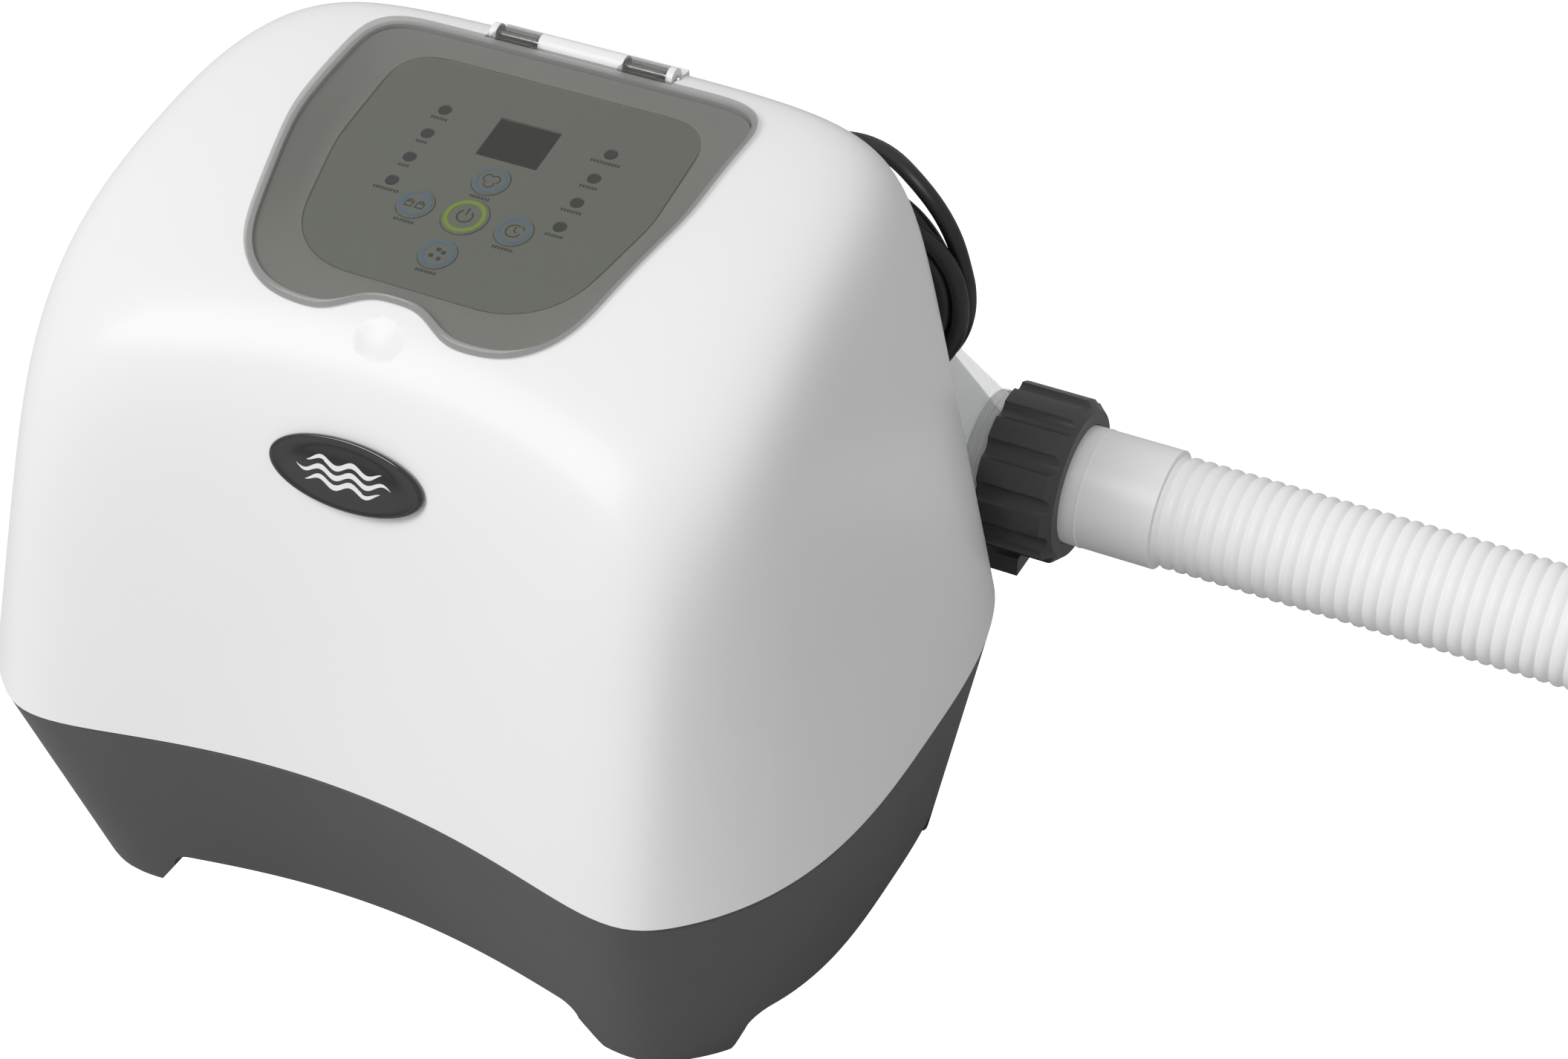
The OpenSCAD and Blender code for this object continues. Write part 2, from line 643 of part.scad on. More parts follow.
module transformer() color([0.5, 0.35, 0.2]) {
    translate([-32, -54, power_z + power_t]) {
        difference() {
            block([-24, 24], [-20, 20], [0, 40]);
            block([-14, -8], [-25, 25], [8, 32]);
            block([8, 14], [-25, 25], [8, 32]);
        }
        difference() {
            block([-14, 14], [-27, 27], [8, 32]);
            block([-8, 8], [-20, 20], [7, 33]);
        }
    }
}

module heat_sink() color("silver") {
    translate([40, -35, power_z + power_t]) {
        block([-20, 20], [-16, 16], [0, 4]);
        for (x = [-18:6:18]) block([x - 1, x + 1], [-16, 16], [4, 28]);
    }
}

module capacitors() color([0.1, 0.12, 0.25]) {
    for (spot = [[24, -70, 8], [44, -70, 8], [10, -40, 6]])
        z_rod(power_z + power_t, power_z + power_t + 28, spot[2], spot[0], spot[1]);
}

module relays() color([0.1, 0.25, 0.5]) {
    for (x = [-52, -34, -16]) block([x - 7, x + 7], [-21, -3], [power_z + power_t,
        power_z + power_t + 16]);
}

// Flat cable from the power board up to the keypad board
module ribbon_cable() color([0.6, 0.6, 0.62]) {
    route = smooth([[58, -60, power_z + 3], [58, -62, 80], [40, -72, 120], [25, -60, 180],
        [25, -20, 230], [25, -7, 279]], 3);
    loft([for (p = route) [[p[0] - 8, p[1] - 0.6, p[2]], [p[0] + 8, p[1] - 0.6, p[2]],
        [p[0] + 8, p[1] + 0.6, p[2]], [p[0] - 8, p[1] + 0.6, p[2]]]]);
}

// ======== Vessel and cell ========

module vessel_shape(grow, end) {
    translate([0, vessel_y, vessel_z]) rotate([0, 90, 0]) rotate_extrude($fn = 96) polygon([
        [0, -end], [thread_r + grow, -end], [thread_r + grow, -cone_end],
        [vessel_r + grow, -body_half], [vessel_r + grow, body_half],
        [thread_r + grow, cone_end], [thread_r + grow, end], [0, end]]);
}

module vessel() color([0.8, 0.85, 0.86, 0.4]) {
    port_r = port_bore_d / 2;
    difference() {
        union() {
            vessel_shape(0, vessel_len / 2);
            y_rod(vessel_y, neck_end, neck_r);
            z_rod(vessel_z, sensor_z, 13, sensor_x, vessel_y);
        }
        translate([0, vessel_y, vessel_z]) rotate([0, 90, 0]) rotate_extrude($fn = 96) polygon([
            [0, -cone_end - 1], [port_r, -cone_end - 1], [vessel_r - vessel_wall, -body_half],
            [vessel_r - vessel_wall, body_half], [port_r, cone_end + 1], [0, cone_end + 1]]);
        x_rod(-200, 200, port_r);
        y_rod(vessel_y, neck_end + 1, neck_r - vessel_wall);
        z_rod(vessel_z, sensor_z + 1, 10, sensor_x, vessel_y);
    }
}

module vessel_cradle() color([0.33, 0.33, 0.34]) {
    difference() {
        union() {
            for (side = [-1, 1]) {
                block([side * 80 - 8, side * 80 + 8], [71, 130], [68, 104]);
                block([side * 125 - 37, side * 125 + 37], [84, 108], [82, 90.5]);
            }
            block([-80, 80], [71, 126], [68, 72]);
        }
        vessel_shape(0.2, 200);
        for (side = [-1, 1]) {
            x_rod(side * 167 - 20, side * 167 + 20, nut_d / 2 + 1.5);
            for (y = saddle_rows) z_rod(60, 80, 1.7, side * 80, y);
        }
    }
}

module cradle_screws() color("silver") {
    for (side = [-1, 1], y = saddle_rows) translate([side * 80, y, 57.8]) screw(length = 16);
}

module cell_cap() color([0.12, 0.12, 0.13]) {
    difference() {
        union() {
            y_rod(neck_end + 0.2, neck_end + 7, neck_r);
            y_rod(neck_end - 14, neck_end + 1, neck_r - vessel_wall - 0.3);
            y_rod(neck_end + 6, cap_end - 4, 28);
            y_rod(cap_end - 5, cap_end, 24);
        }
        y_rod(neck_end - 10, cap_end - 10, 22);
        for (x = post_x) y_rod(neck_end - 15, neck_end - 9, 2.6, x);
        difference() {
            y_rod(neck_end - 3.8, neck_end - 2.2, neck_r);
            y_rod(neck_end - 5, neck_end - 1, neck_r - vessel_wall - 1.1);
        }
        translate([0, neck_end + 18, vessel_z + 15]) z_rod(0, 20, 4.2);
    }
}

module cell_collar() color([0.1, 0.1, 0.1]) {
    difference() {
        y_rod(neck_end - 12.5, neck_end + 12, collar_r);
        y_rod(neck_end - 17, neck_end + 7.4, neck_r + 0.3);
        y_rod(neck_end, neck_end + 13, 29);
        for (i = [0:11]) translate([0, 0, vessel_z]) rotate([0, 30 * i, 0])
            y_rod(neck_end - 17, neck_end + 13, 4.5, 0, collar_r + 2);
    }
}

module cell_o_ring() color([0.3, 0.1, 0.1])
    translate([0, neck_end - 3, vessel_z]) rotate([90, 0, 0])
        o_ring(neck_r - vessel_wall - 0.55, 0.55);

module electrode_plates() color([0.35, 0.35, 0.38]) {
    for (i = [-3:3]) block([-19, 19], [76, neck_end - 16], [vessel_z + 6 * i - 0.6,
        vessel_z + 6 * i + 0.6]);
}

module electrode_comb() color([0.85, 0.85, 0.83]) {
    difference() {
        block([-21.5, 21.5], [neck_end - 22, neck_end - 14], [vessel_z - 20.5, vessel_z + 20.5]);
        for (i = [-3:3]) block([-19, 19], [neck_end - 23, neck_end - 16],
            [vessel_z + 6 * i - 0.6, vessel_z + 6 * i + 0.6]);
    }
}

module electrode_posts() color("gold") {
    for (x = post_x) y_rod(neck_end - 14, neck_end + 14, 2.5, x);
}

module cell_cable() color([0.07, 0.07, 0.07])
    tube(smooth([[0, 168, 150], [2, 169, 166], [8, 164, 180], [14, 146, 188], [18, 124, 192],
        [20, 98, 193], [cell_gland[0], 74, cell_gland[1]], [cell_gland[0], 62, cell_gland[1]]], 4),
        6, 8);

module cell_cable_glands() color([0.1, 0.1, 0.1]) {
    small_gland(cell_gland[0], cell_gland[1], 3.1);
    small_gland(sensor_x, sensor_gland_z, 2.1);
}

module small_gland(x, z, bore_r) difference() {
    union() {
        y_rod(back_at(z) - 6, back_at(z) + 5, 4.9, x, z);
        y_rod(back_at(z - 8), back_at(z) + 4, 8, x, z);
    }
    y_rod(50, 90, bore_r, x, z);
}

module flow_sensor() color([0.1, 0.1, 0.11]) {
    translate([sensor_x, vessel_y, 0]) difference() {
        union() {
            z_rod(sensor_z + 0.2, sensor_z + 5, 14);
            z_rod(sensor_z - 24, sensor_z + 1, 9.6);
            z_rod(sensor_z + 4, sensor_z + 22, 9);
        }
        block([-3, 8], [-12, 12], [sensor_z - 25, sensor_z - 10]);
        y_rod(-12, 12, 1, 0, sensor_z - 18);
        translate([0, 0, sensor_z - 18]) rotate([0, 90, 0]) cylinder(h = 40, r = 1, center = true);
    }
}

module flow_sensor_nut() color([0.12, 0.12, 0.13]) {
    translate([sensor_x, vessel_y, 0]) difference() {
        z_rod(sensor_z - 9, sensor_z + 8, 19);
        z_rod(sensor_z - 10, sensor_z + 5.3, 14.3);
        z_rod(sensor_z, sensor_z + 9, 9.4);
        for (i = [0:7]) rotate([0, 0, 45 * i]) z_rod(sensor_z - 10, sensor_z + 9, 3, 20.5);
    }
}

module flow_sensor_o_ring() color([0.3, 0.1, 0.1])
    translate([sensor_x, vessel_y, sensor_z - 5]) difference() {
        o_ring(9.5, 0.6);
        cylinder(h = 5, r = 9.6, center = true);
    }

// Paddle that the flow pushes aside, on a cross pin
module flow_paddle() color([0.85, 0.8, 0.3]) {
    translate([sensor_x, vessel_y, 0]) difference() {
        union() {
            block([-1.2, 1.2], [-2.6, 2.6], [sensor_z - 55, sensor_z - 18]);
            block([-1.2, 1.2], [-8, 8], [sensor_z - 66, sensor_z - 44]);
            y_rod(-8.4, 8.4, 2.2, 0, sensor_z - 18);
        }
    }
}

module flow_cable() color([0.07, 0.07, 0.07])
    tube(smooth([[sensor_x, vessel_y, sensor_z + 22], [sensor_x, 95, 216], [sensor_x, 88, 219],
        [sensor_x, 80, 212], [sensor_x, 72, sensor_gland_z], [sensor_x, 62, sensor_gland_z]], 4),
        4, 8);

// ======== Hose ========

module at_port() translate([0, vessel_y, vessel_z]) children();

module at_hose_end() translate(hose_end) rotate([0, 0, end_yaw]) children();

module hose_nut() color([0.1, 0.1, 0.1]) at_port()
    lobed_nut(nut_x0, nut_x1, thread_r + 0.4, cuff_r + 0.4);

module hose_cuff() color([0.92, 0.92, 0.92]) at_port()
    hose_fitting(vessel_len / 2 + 1, cuff_end);

module hose_o_ring() color([0.1, 0.1, 0.1]) at_port()
    translate([vessel_len / 2 + 0.5, 0, 0]) rotate([0, 90, 0]) difference() {
        cylinder(h = 1, r = 25.5, center = true);
        cylinder(h = 3, r = 21, center = true);
    }

module hose() color([0.93, 0.93, 0.93]) hollow_tube(smooth(hose_route, 2), hose_d, hose_d - 6);

module hose_end_cuff() color([0.92, 0.92, 0.92]) at_hose_end()
    mirror([1, 0, 0]) hose_fitting(-46, 0);

module hose_end_nut() color([0.1, 0.1, 0.1]) at_hose_end()
    mirror([1, 0, 0]) lobed_nut(-68, -36, thread_r + 0.4, cuff_r + 0.4);

module hose_end_o_ring() color([0.1, 0.1, 0.1]) at_hose_end()
    translate([46.5, 0, 0]) rotate([0, 90, 0]) difference() {
        cylinder(h = 1, r = 25.5, center = true);
        cylinder(h = 3, r = 21, center = true);
    }

// ======== Power cord ========

module cord_gland() color([0.08, 0.08, 0.08]) {
    translate([gland_at[0], 0, gland_at[2]]) difference() {
        union() {
            y_rod(52, 66, 7.8, 0, 0);
            y_rod(gland_at[1], 68, 11, 0, 0);
            translate([0, 84, 0]) rotate([90, 0, 0]) cylinder(h = 16, r1 = 5, r2 = 8);
        }
        y_rod(40, 90, cord_d / 2, 0, 0);
    }
}

module power_cord() color([0.06, 0.06, 0.06]) {
    tube(smooth(cord_lead, 2), cord_d, 8);
    tube(smooth(cord_tail, 2), cord_d, 8);
}

module cord_coil() color([0.06, 0.06, 0.06]) {
    translate(coil_at) rotate([90, 0, 0]) difference() {
        cylinder(h = coil_w, r = coil_outer, center = true);
        cylinder(h = coil_w + 2, r = coil_inner, center = true);
    }
}

// Wire tie around the left side of the coil
module coil_tie() color([0.15, 0.15, 0.15]) {
    translate([coil_at[0] - (coil_outer + coil_inner) / 2, coil_at[1], coil_at[2] - 8]) difference() {
        block([-11.4, 11.4], [-8.2, 8.2], [0, 5]);
        block([-10.4, 10.4], [-7.2, 7.2], [-1, 6]);
    }
}

// Two-pin mains plug lying on the floor
module plug() color([0.07, 0.07, 0.07]) {
    translate(plug_at) {
        translate([-44, -15, -14]) cube([32, 30, 28]);
        translate([-12, 0, 0]) rotate([0, 90, 0]) cylinder(h = 12, r1 = 8, r2 = 4.6);
        for (y = [-9.5, 9.5]) translate([-63, y, 0]) rotate([0, 90, 0]) cylinder(h = 20, r = 2.4);
    }
}

module bonding_terminal() color([0.75, 0.55, 0.3]) {
    y_rod(56, 84, 2.9, terminal_at[0], terminal_at[1]);
    y_rod(76, 80, 6, terminal_at[0], terminal_at[1]);
}

upper_housing();
base();
rear_shelf();
base_plate();
foot_pads();
seam_gasket();
housing_screws();
hinge_bracket();
hinge_pins();
lid();
panel_plate();
keypad_overlay();
display_window();
display_digits();
indicator_lamps();
power_button();
boost_button();
lock_button();
timer_button();
clean_button();
control_board();
tact_switches();
control_board_screws();
power_board();
transformer();
heat_sink();
capacitors();
relays();
power_board_screws();
ribbon_cable();
badge();
vessel();
vessel_cradle();
cradle_screws();
cell_cap();
cell_collar();
cell_o_ring();
electrode_plates();
electrode_comb();
electrode_posts();
cell_cable();
cell_cable_glands();
flow_sensor();
flow_sensor_nut();
flow_sensor_o_ring();
flow_paddle();
flow_cable();
hose_nut();
hose_o_ring();
hose_cuff();
hose();
hose_end_cuff();
hose_end_nut();
hose_end_o_ring();
cord_gland();
power_cord();
cord_coil();
coil_tie();
plug();
bonding_terminal();
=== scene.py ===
"""Looks of the salt chlorine generator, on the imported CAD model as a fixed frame."""
import json
import math

import bmesh
import bpy
import numpy as np
from mathutils import Matrix, Vector


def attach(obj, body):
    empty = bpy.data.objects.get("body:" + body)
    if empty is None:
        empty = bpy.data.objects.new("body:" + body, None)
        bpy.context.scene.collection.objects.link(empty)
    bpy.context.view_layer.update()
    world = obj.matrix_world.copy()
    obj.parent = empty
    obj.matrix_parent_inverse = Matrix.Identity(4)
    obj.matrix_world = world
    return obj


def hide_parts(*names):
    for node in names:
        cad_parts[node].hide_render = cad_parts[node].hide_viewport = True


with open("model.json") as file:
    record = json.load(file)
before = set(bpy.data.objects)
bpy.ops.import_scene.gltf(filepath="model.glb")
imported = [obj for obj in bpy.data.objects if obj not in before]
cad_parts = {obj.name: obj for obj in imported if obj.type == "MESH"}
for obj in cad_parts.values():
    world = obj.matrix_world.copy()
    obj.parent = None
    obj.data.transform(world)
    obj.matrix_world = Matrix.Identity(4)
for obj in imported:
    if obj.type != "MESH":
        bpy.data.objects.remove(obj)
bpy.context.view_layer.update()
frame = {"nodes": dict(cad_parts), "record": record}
NODES = frame["nodes"]
MM = 0.001

# ---------------------------------------------------------------- camera, floor and light
FOCAL_PX = 4274.9
CAMERA_AT = Vector((518.3, -838.8, 885.8))  # mm
CAMERA_BACK = Vector((0.350, -0.7014, 0.6209))  # from what it looks at towards the camera
BACKDROP_GLOW = 1.6  # over 1, because the tone curve pulls white down
FLOOR_HALF = 6.0  # m
KEY_AT = Vector((-0.95, -1.5, 2.05))  # m
KEY_LOOK = Vector((0, 0, 0.15))
IMAGE_W = 2111


def add_camera():
    back = CAMERA_BACK.normalized()
    right = Vector((0, 0, 1)).cross(back).normalized()
    up = back.cross(right)
    data = bpy.data.cameras.new("camera")
    data.sensor_width = 36
    data.lens = 36 * FOCAL_PX / IMAGE_W
    data.clip_start = 0.05
    data.clip_end = 50
    cam = bpy.data.objects.new("camera", data)
    rot = Matrix((right, up, back)).transposed().to_4x4()
    cam.matrix_world = Matrix.Translation(CAMERA_AT * MM) @ rot
    bpy.context.scene.collection.objects.link(cam)
    bpy.context.scene.camera = cam


def add_key_light():
    """One large soft lamp, up and to the left in front."""
    data = bpy.data.lights.new("key", "AREA")
    data.shape = "RECTANGLE"
    data.size = data.size_y = 1.3
    data.energy = 43
    lamp = bpy.data.objects.new("key", data)
    lamp.location = KEY_AT
    lamp.rotation_euler = (KEY_LOOK - KEY_AT).to_track_quat("-Z", "Y").to_euler()
    bpy.context.scene.collection.objects.link(lamp)


def add_stage():
    mesh = bpy.data.meshes.new("floor")
    r = FLOOR_HALF
    mesh.from_pydata([(-r, -r, 0), (r, -r, 0), (r, r, 0), (-r, r, 0)], [], [(0, 1, 2, 3)])
    floor = bpy.data.objects.new("floor", mesh)
    bpy.context.scene.collection.objects.link(floor)
    mesh.materials.append(backdrop_material())
    bpy.context.scene.world = studio_world()
    view = bpy.context.scene.view_settings
    view.view_transform = "Standard"
    view.use_curve_mapping = True
    curve = view.curve_mapping.curves[3]
    curve.points[1].location = (1, 0.89)
    curve.points.new(0.5, 0.5)
    curve.points.new(0.8, 0.79)
    view.curve_mapping.update()
    add_key_light()


def backdrop_material():
    """White to the camera, and mid grey to the light that it bounces."""
    mat = bpy.data.materials.new("floor")
    mat.use_nodes = True
    tree = mat.node_tree
    tree.nodes.remove(tree.nodes["Principled BSDF"])
    path = tree.nodes.new("ShaderNodeLightPath")
    grey = tree.nodes.new("ShaderNodeBsdfDiffuse")
    grey.inputs["Color"].default_value = (0.5, 0.5, 0.5, 1)
    glow = tree.nodes.new("ShaderNodeEmission")
    glow.inputs["Strength"].default_value = BACKDROP_GLOW
    pick = tree.nodes.new("ShaderNodeMixShader")
    link = tree.links.new
    link(path.outputs["Is Camera Ray"], pick.inputs["Fac"])
    link(grey.outputs["BSDF"], pick.inputs[1])
    link(glow.outputs["Emission"], pick.inputs[2])
    link(pick.outputs["Shader"], tree.nodes["Material Output"].inputs["Surface"])
    return mat


def studio_world():
    """Even light from all round, white where the camera sees it."""
    world = bpy.data.worlds.new("studio")
    world.use_nodes = True
    tree = world.node_tree
    soft = tree.nodes["Background"]
    soft.inputs["Color"].default_value = (1, 1, 1, 1)
    soft.inputs["Strength"].default_value = 0.52
    white = tree.nodes.new("ShaderNodeBackground")
    white.inputs["Strength"].default_value = BACKDROP_GLOW
    path = tree.nodes.new("ShaderNodeLightPath")
    pick = tree.nodes.new("ShaderNodeMixShader")
    tree.links.new(path.outputs["Is Camera Ray"], pick.inputs["Fac"])
    tree.links.new(soft.outputs["Background"], pick.inputs[1])
    tree.links.new(white.outputs["Background"], pick.inputs[2])
    tree.links.new(pick.outputs["Shader"], tree.nodes["World Output"].inputs["Surface"])
    return world


# ---------------------------------------------------------------- housing surface, in mm
HALF_W, FRONT_B, BACK_B = 180.0, 159.0, 156.0
EYE_Y, SEAM_Z, TOP_Z, DOME_R, DOME_Y = -42.0, 104.0, 304.0, 313.0, 35.0
FRONT_Y, FRONT_SLOPE, HOLLOW, HOLLOW_X = -161.0, 0.22, 22.0, 114.0
BACK_Y, BACK_SLOPE = 73.0, 0.074
FRONT_LEAN, SIDE_LEAN, BACK_LEAN, LEAN_REF = 0.27, 0.25, 0.19, 225.0
SOFT_TOP, SOFT_BACK, SOFT_FRONT = 12, 13, 14
TAPER_X, TAPER_Y = 0.1, 0.22  # share of the base's width and depth lost at the floor
WALL = 3.5
FAR = 1e5
VESSEL_Y, VESSEL_Z = 96, 127
TROUGH = ((-220, VESSEL_Y, VESSEL_Z), (220, VESSEL_Y, VESSEL_Z))
TROUGH_R = 45


def soft_min(a, b, p):
    return (a ** -p + b ** -p) ** (-1 / p)


def housing_r(cx, cy, cz):
    """Distance from the inside point to the surface along unit directions."""
    b = np.where(cy < 0, FRONT_B, BACK_B)
    gauge = ((np.abs(cx) / HALF_W) ** 3 + (np.abs(cy) / b) ** 3) ** (1 / 3)
    gx, gy = (cx / HALF_W) ** 2, (cy / 157) ** 2
    share = gx / (gx + gy + 1e-9)
    lean = SIDE_LEAN * share + np.where(cy < 0, FRONT_LEAN, BACK_LEAN) * (1 - share)
    flank = 1 / np.maximum(gauge + lean * cz / LEAN_REF, 1e-6)
    oy, oz = EYE_Y - DOME_Y, SEAM_Z - (TOP_Z - DOME_R)
    dd, od = cy * cy + cz * cz, oy * cy + oz * cz
    root = np.sqrt(od * od - dd * (oy * oy + oz * oz - DOME_R ** 2))
    dome = np.where(cz < 0.02, FAR, (-od + root) / np.maximum(dd, 1e-9))
    r = soft_min(flank, dome, SOFT_TOP)
    q = cy + BACK_SLOPE * cz
    back = np.where(q > 0.001, (BACK_Y - EYE_Y) / np.maximum(q, 0.001), FAR)
    r = soft_min(r, back, SOFT_BACK)
    a, b2 = HOLLOW * cx * cx / HOLLOW_X ** 2, cy - FRONT_SLOPE * cz
    c = EYE_Y - FRONT_Y
    disc = b2 * b2 - 4 * a * c
    hit = 2 * c / np.maximum(-b2 + np.sqrt(np.maximum(disc, 0)), 1e-6)
    return soft_min(r, np.where((b2 < 0) & (disc > 0), hit, FAR), SOFT_FRONT)


def direction(az, el):
    return np.cos(el) * np.cos(az), np.cos(el) * np.sin(az), np.sin(el)


def top_height(x, y):
    """Height of the housing's top above points (x, y)."""
    lo, hi = np.full_like(x, SEAM_Z + 1), np.full_like(x, TOP_Z + 20)
    for _ in range(40):
        mid = (lo + hi) / 2
        d = np.stack([x, y - EYE_Y, mid - SEAM_Z])
        n = np.sqrt((d ** 2).sum(0))
        inside = n < housing_r(d[0] / n, d[1] / n, d[2] / n)
        lo, hi = np.where(inside, mid, lo), np.where(inside, hi, mid)
    return lo


# ---------------------------------------------------------------- mesh helpers
def new_object(name, points, faces, smooth=True):
    """A mesh object from points in mm."""
    mesh = bpy.data.meshes.new(name)
    mesh.from_pydata([tuple(float(v) * MM for v in p) for p in points], [],
                     [tuple(int(i) for i in f) for f in faces])
    mesh.validate()
    work = bmesh.new()
    work.from_mesh(mesh)
    bmesh.ops.recalc_face_normals(work, faces=work.faces)
    work.to_mesh(mesh)
    work.free()
    mesh.polygons.foreach_set("use_smooth", [smooth] * len(mesh.polygons))
    obj = bpy.data.objects.new(name, mesh)
    bpy.context.scene.collection.objects.link(obj)
    return obj


def loft(name, rings, closed_path=False):
    """Closed surface through equal rings of points."""
    n, m = len(rings[0]), len(rings)
    pts = [p for ring in rings for p in ring]
    rows = m if closed_path else m - 1
    faces = []
    for j in range(rows):
        a, b = j * n, ((j + 1) % m) * n
        faces += [(a + i, a + (i + 1) % n, b + (i + 1) % n, b + i) for i in range(n)]
    if not closed_path:
        faces.append(tuple(range(n - 1, -1, -1)))
        faces.append(tuple((m - 1) * n + i for i in range(n)))
    return new_object(name, pts, faces)


def apply_modifiers(obj):
    graph = bpy.context.evaluated_depsgraph_get()
    mesh = bpy.data.meshes.new_from_object(obj.evaluated_get(graph))
    obj.modifiers.clear()
    old = obj.data
    obj.data = mesh
    bpy.data.meshes.remove(old)


def cut(obj, cutters, operation="DIFFERENCE"):
    """Boolean of obj with each cutter, which is then removed."""
    for cutter in cutters:
        mod = obj.modifiers.new("cut", "BOOLEAN")
        mod.operation = operation
        mod.object = cutter
        mod.solver = "EXACT"
        apply_modifiers(obj)
        bpy.data.objects.remove(cutter)


def prism(name, outline, place, z0, z1):
    """Prism of a 2-D outline, from z0 to z1 of its own frame."""
    rings = [[place(p[0], p[1], z) for p in outline] for z in (z0, z1)]
    return loft(name, rings)


def flat(x, y, z):
    return x, y, z


def rod(name, a, b, r, sides=64):
    """Cylinder from a to b, in mm."""
    a, b = Vector(a), Vector(b)
    t = (b - a).normalized()
    u = t.orthogonal().normalized()
    v = t.cross(u)
    angles = [2 * math.pi * i / sides for i in range(sides)]
    ring = [u * math.cos(q) * r + v * math.sin(q) * r for q in angles]
    return loft(name, [[a + p for p in ring], [b + p for p in ring]])


def block(name, lo, hi):
    outline = [(lo[0], lo[1]), (hi[0], lo[1]), (hi[0], hi[1]), (lo[0], hi[1])]
    return prism(name, outline, flat, lo[2], hi[2])


def soften(obj, width, angle=35, segments=3):
    """Rounds sharp edges and shades by angle."""
    mod = obj.modifiers.new("soft_edges", "BEVEL")
    mod.width = width * MM
    mod.segments = segments
    mod.limit_method = "ANGLE"
    mod.angle_limit = math.radians(angle)
    mod.harden_normals = True
    mod.use_clamp_overlap = True


def shade(obj, angle=40):
    obj.data.polygons.foreach_set("use_smooth", [True] * len(obj.data.polygons))
    obj.data.set_sharp_from_angle(angle=math.radians(angle))


# ---------------------------------------------------------------- keypad frame
TILT = math.radians(13.2)
PANEL_Y, PANEL_Z = 20.0, 298.3


def on_panel(x, s, h):
    """Point at x, s up the slope and h off the keypad face."""
    return (x, PANEL_Y + s * math.cos(TILT) - h * math.sin(TILT),
            PANEL_Z + s * math.sin(TILT) + h * math.cos(TILT))


def hull_outline(circles, inset, count=160):
    """Evenly spaced points on the hull of circles (x, y, r), mirrored in x."""
    pts = []
    for x, y, r in circles:
        for side in (-1, 1):
            for i in range(96):
                q = 2 * math.pi * i / 96
                pts.append((side * x + (r - inset) * math.cos(q), y + (r - inset) * math.sin(q)))
    pts = sorted(set(pts))

    def half(seq):
        out = []
        for p in seq:
            while len(out) > 1 and ((out[-1][0] - out[-2][0]) * (p[1] - out[-2][1])
                                    - (out[-1][1] - out[-2][1]) * (p[0] - out[-2][0])) <= 0:
                out.pop()
            out.append(p)
        return out[:-1]

    ring = np.array(half(pts) + half(pts[::-1]))
    closed = np.vstack([ring, ring[:1]])
    run = np.concatenate([[0], np.cumsum(np.linalg.norm(np.diff(closed, axis=0), axis=1))])
    at = np.linspace(0, run[-1], count, endpoint=False)
    even = np.stack([np.interp(at, run, closed[:, k]) for k in (0, 1)], axis=1)
    reach = max(1, int(round(CORNER_BLEND * count / run[-1])))
    for _ in range(2):
        even = sum(np.roll(even, k, axis=0) for k in range(-reach, reach + 1)) / (2 * reach + 1)
    return even


CORNER_BLEND = 6.0  # how far along an outline its kinks are smoothed, in mm
LID_CIRCLES = [(68, -3, 14), (51, -50, 30), (39, -97, 31)]
PAD_CIRCLES = [(50, -16, 13.5), (40, -50, 24), (27, -78, 31)]
POCKET_INSET = 2.6  # how far inside the flap's edge the opening under it begins


def lid_ring(inset):
    """Lid outline pulled in by inset, with the finger notch in its front edge."""
    out = hull_outline(LID_CIRCLES, inset, 240)
    front = np.clip((-out[:, 1] - 90) / 30, 0, 1)
    out[:, 1] += 9 * np.exp(-np.abs(out[:, 0] / 19) ** 3) * front
    return out


# ---------------------------------------------------------------- materials
ROUGH_SPREAD = 0.05


def grained(name, colour, rough, grain, depth, tint=0.06, coat=0.0, alpha=1.0, metal=0.0):
    """Moulded material: fine grain in bump and roughness, and slow changes of shade."""
    mat = bpy.data.materials.new(name)
    mat.use_nodes = True
    tree = mat.node_tree
    shader = tree.nodes["Principled BSDF"]
    shader.inputs["Metallic"].default_value = metal
    shader.inputs["Alpha"].default_value = alpha
    shader.inputs["Coat Weight"].default_value = coat
    shader.inputs["Coat Roughness"].default_value = 0.12
    where = tree.nodes.new("ShaderNodeTexCoord")
    slow = tree.nodes.new("ShaderNodeTexNoise")
    slow.inputs["Scale"].default_value = 14
    slow.inputs["Detail"].default_value = 3
    fine = tree.nodes.new("ShaderNodeTexNoise")
    fine.inputs["Scale"].default_value = grain
    fine.inputs["Detail"].default_value = 4
    ramp = tree.nodes.new("ShaderNodeValToRGB")
    dark = [c * (1 - tint) for c in colour]
    ramp.color_ramp.elements[0].position = 0.3
    ramp.color_ramp.elements[1].position = 0.7
    ramp.color_ramp.elements[0].color = (*dark, 1)
    ramp.color_ramp.elements[1].color = (*colour, 1)
    span = tree.nodes.new("ShaderNodeMapRange")
    span.inputs["To Min"].default_value = max(rough - ROUGH_SPREAD, 0.02)
    span.inputs["To Max"].default_value = rough + ROUGH_SPREAD
    bump = tree.nodes.new("ShaderNodeBump")
    bump.inputs["Strength"].default_value = 0.5
    bump.inputs["Distance"].default_value = depth
    link = tree.links.new
    link(where.outputs["Object"], slow.inputs["Vector"])
    link(where.outputs["Object"], fine.inputs["Vector"])
    link(slow.outputs["Fac"], ramp.inputs["Fac"])
    link(ramp.outputs["Color"], shader.inputs["Base Color"])
    link(fine.outputs["Fac"], span.inputs["Value"])
    link(span.outputs["Result"], shader.inputs["Roughness"])
    link(fine.outputs["Fac"], bump.inputs["Height"])
    link(bump.outputs["Normal"], shader.inputs["Normal"])
    return mat


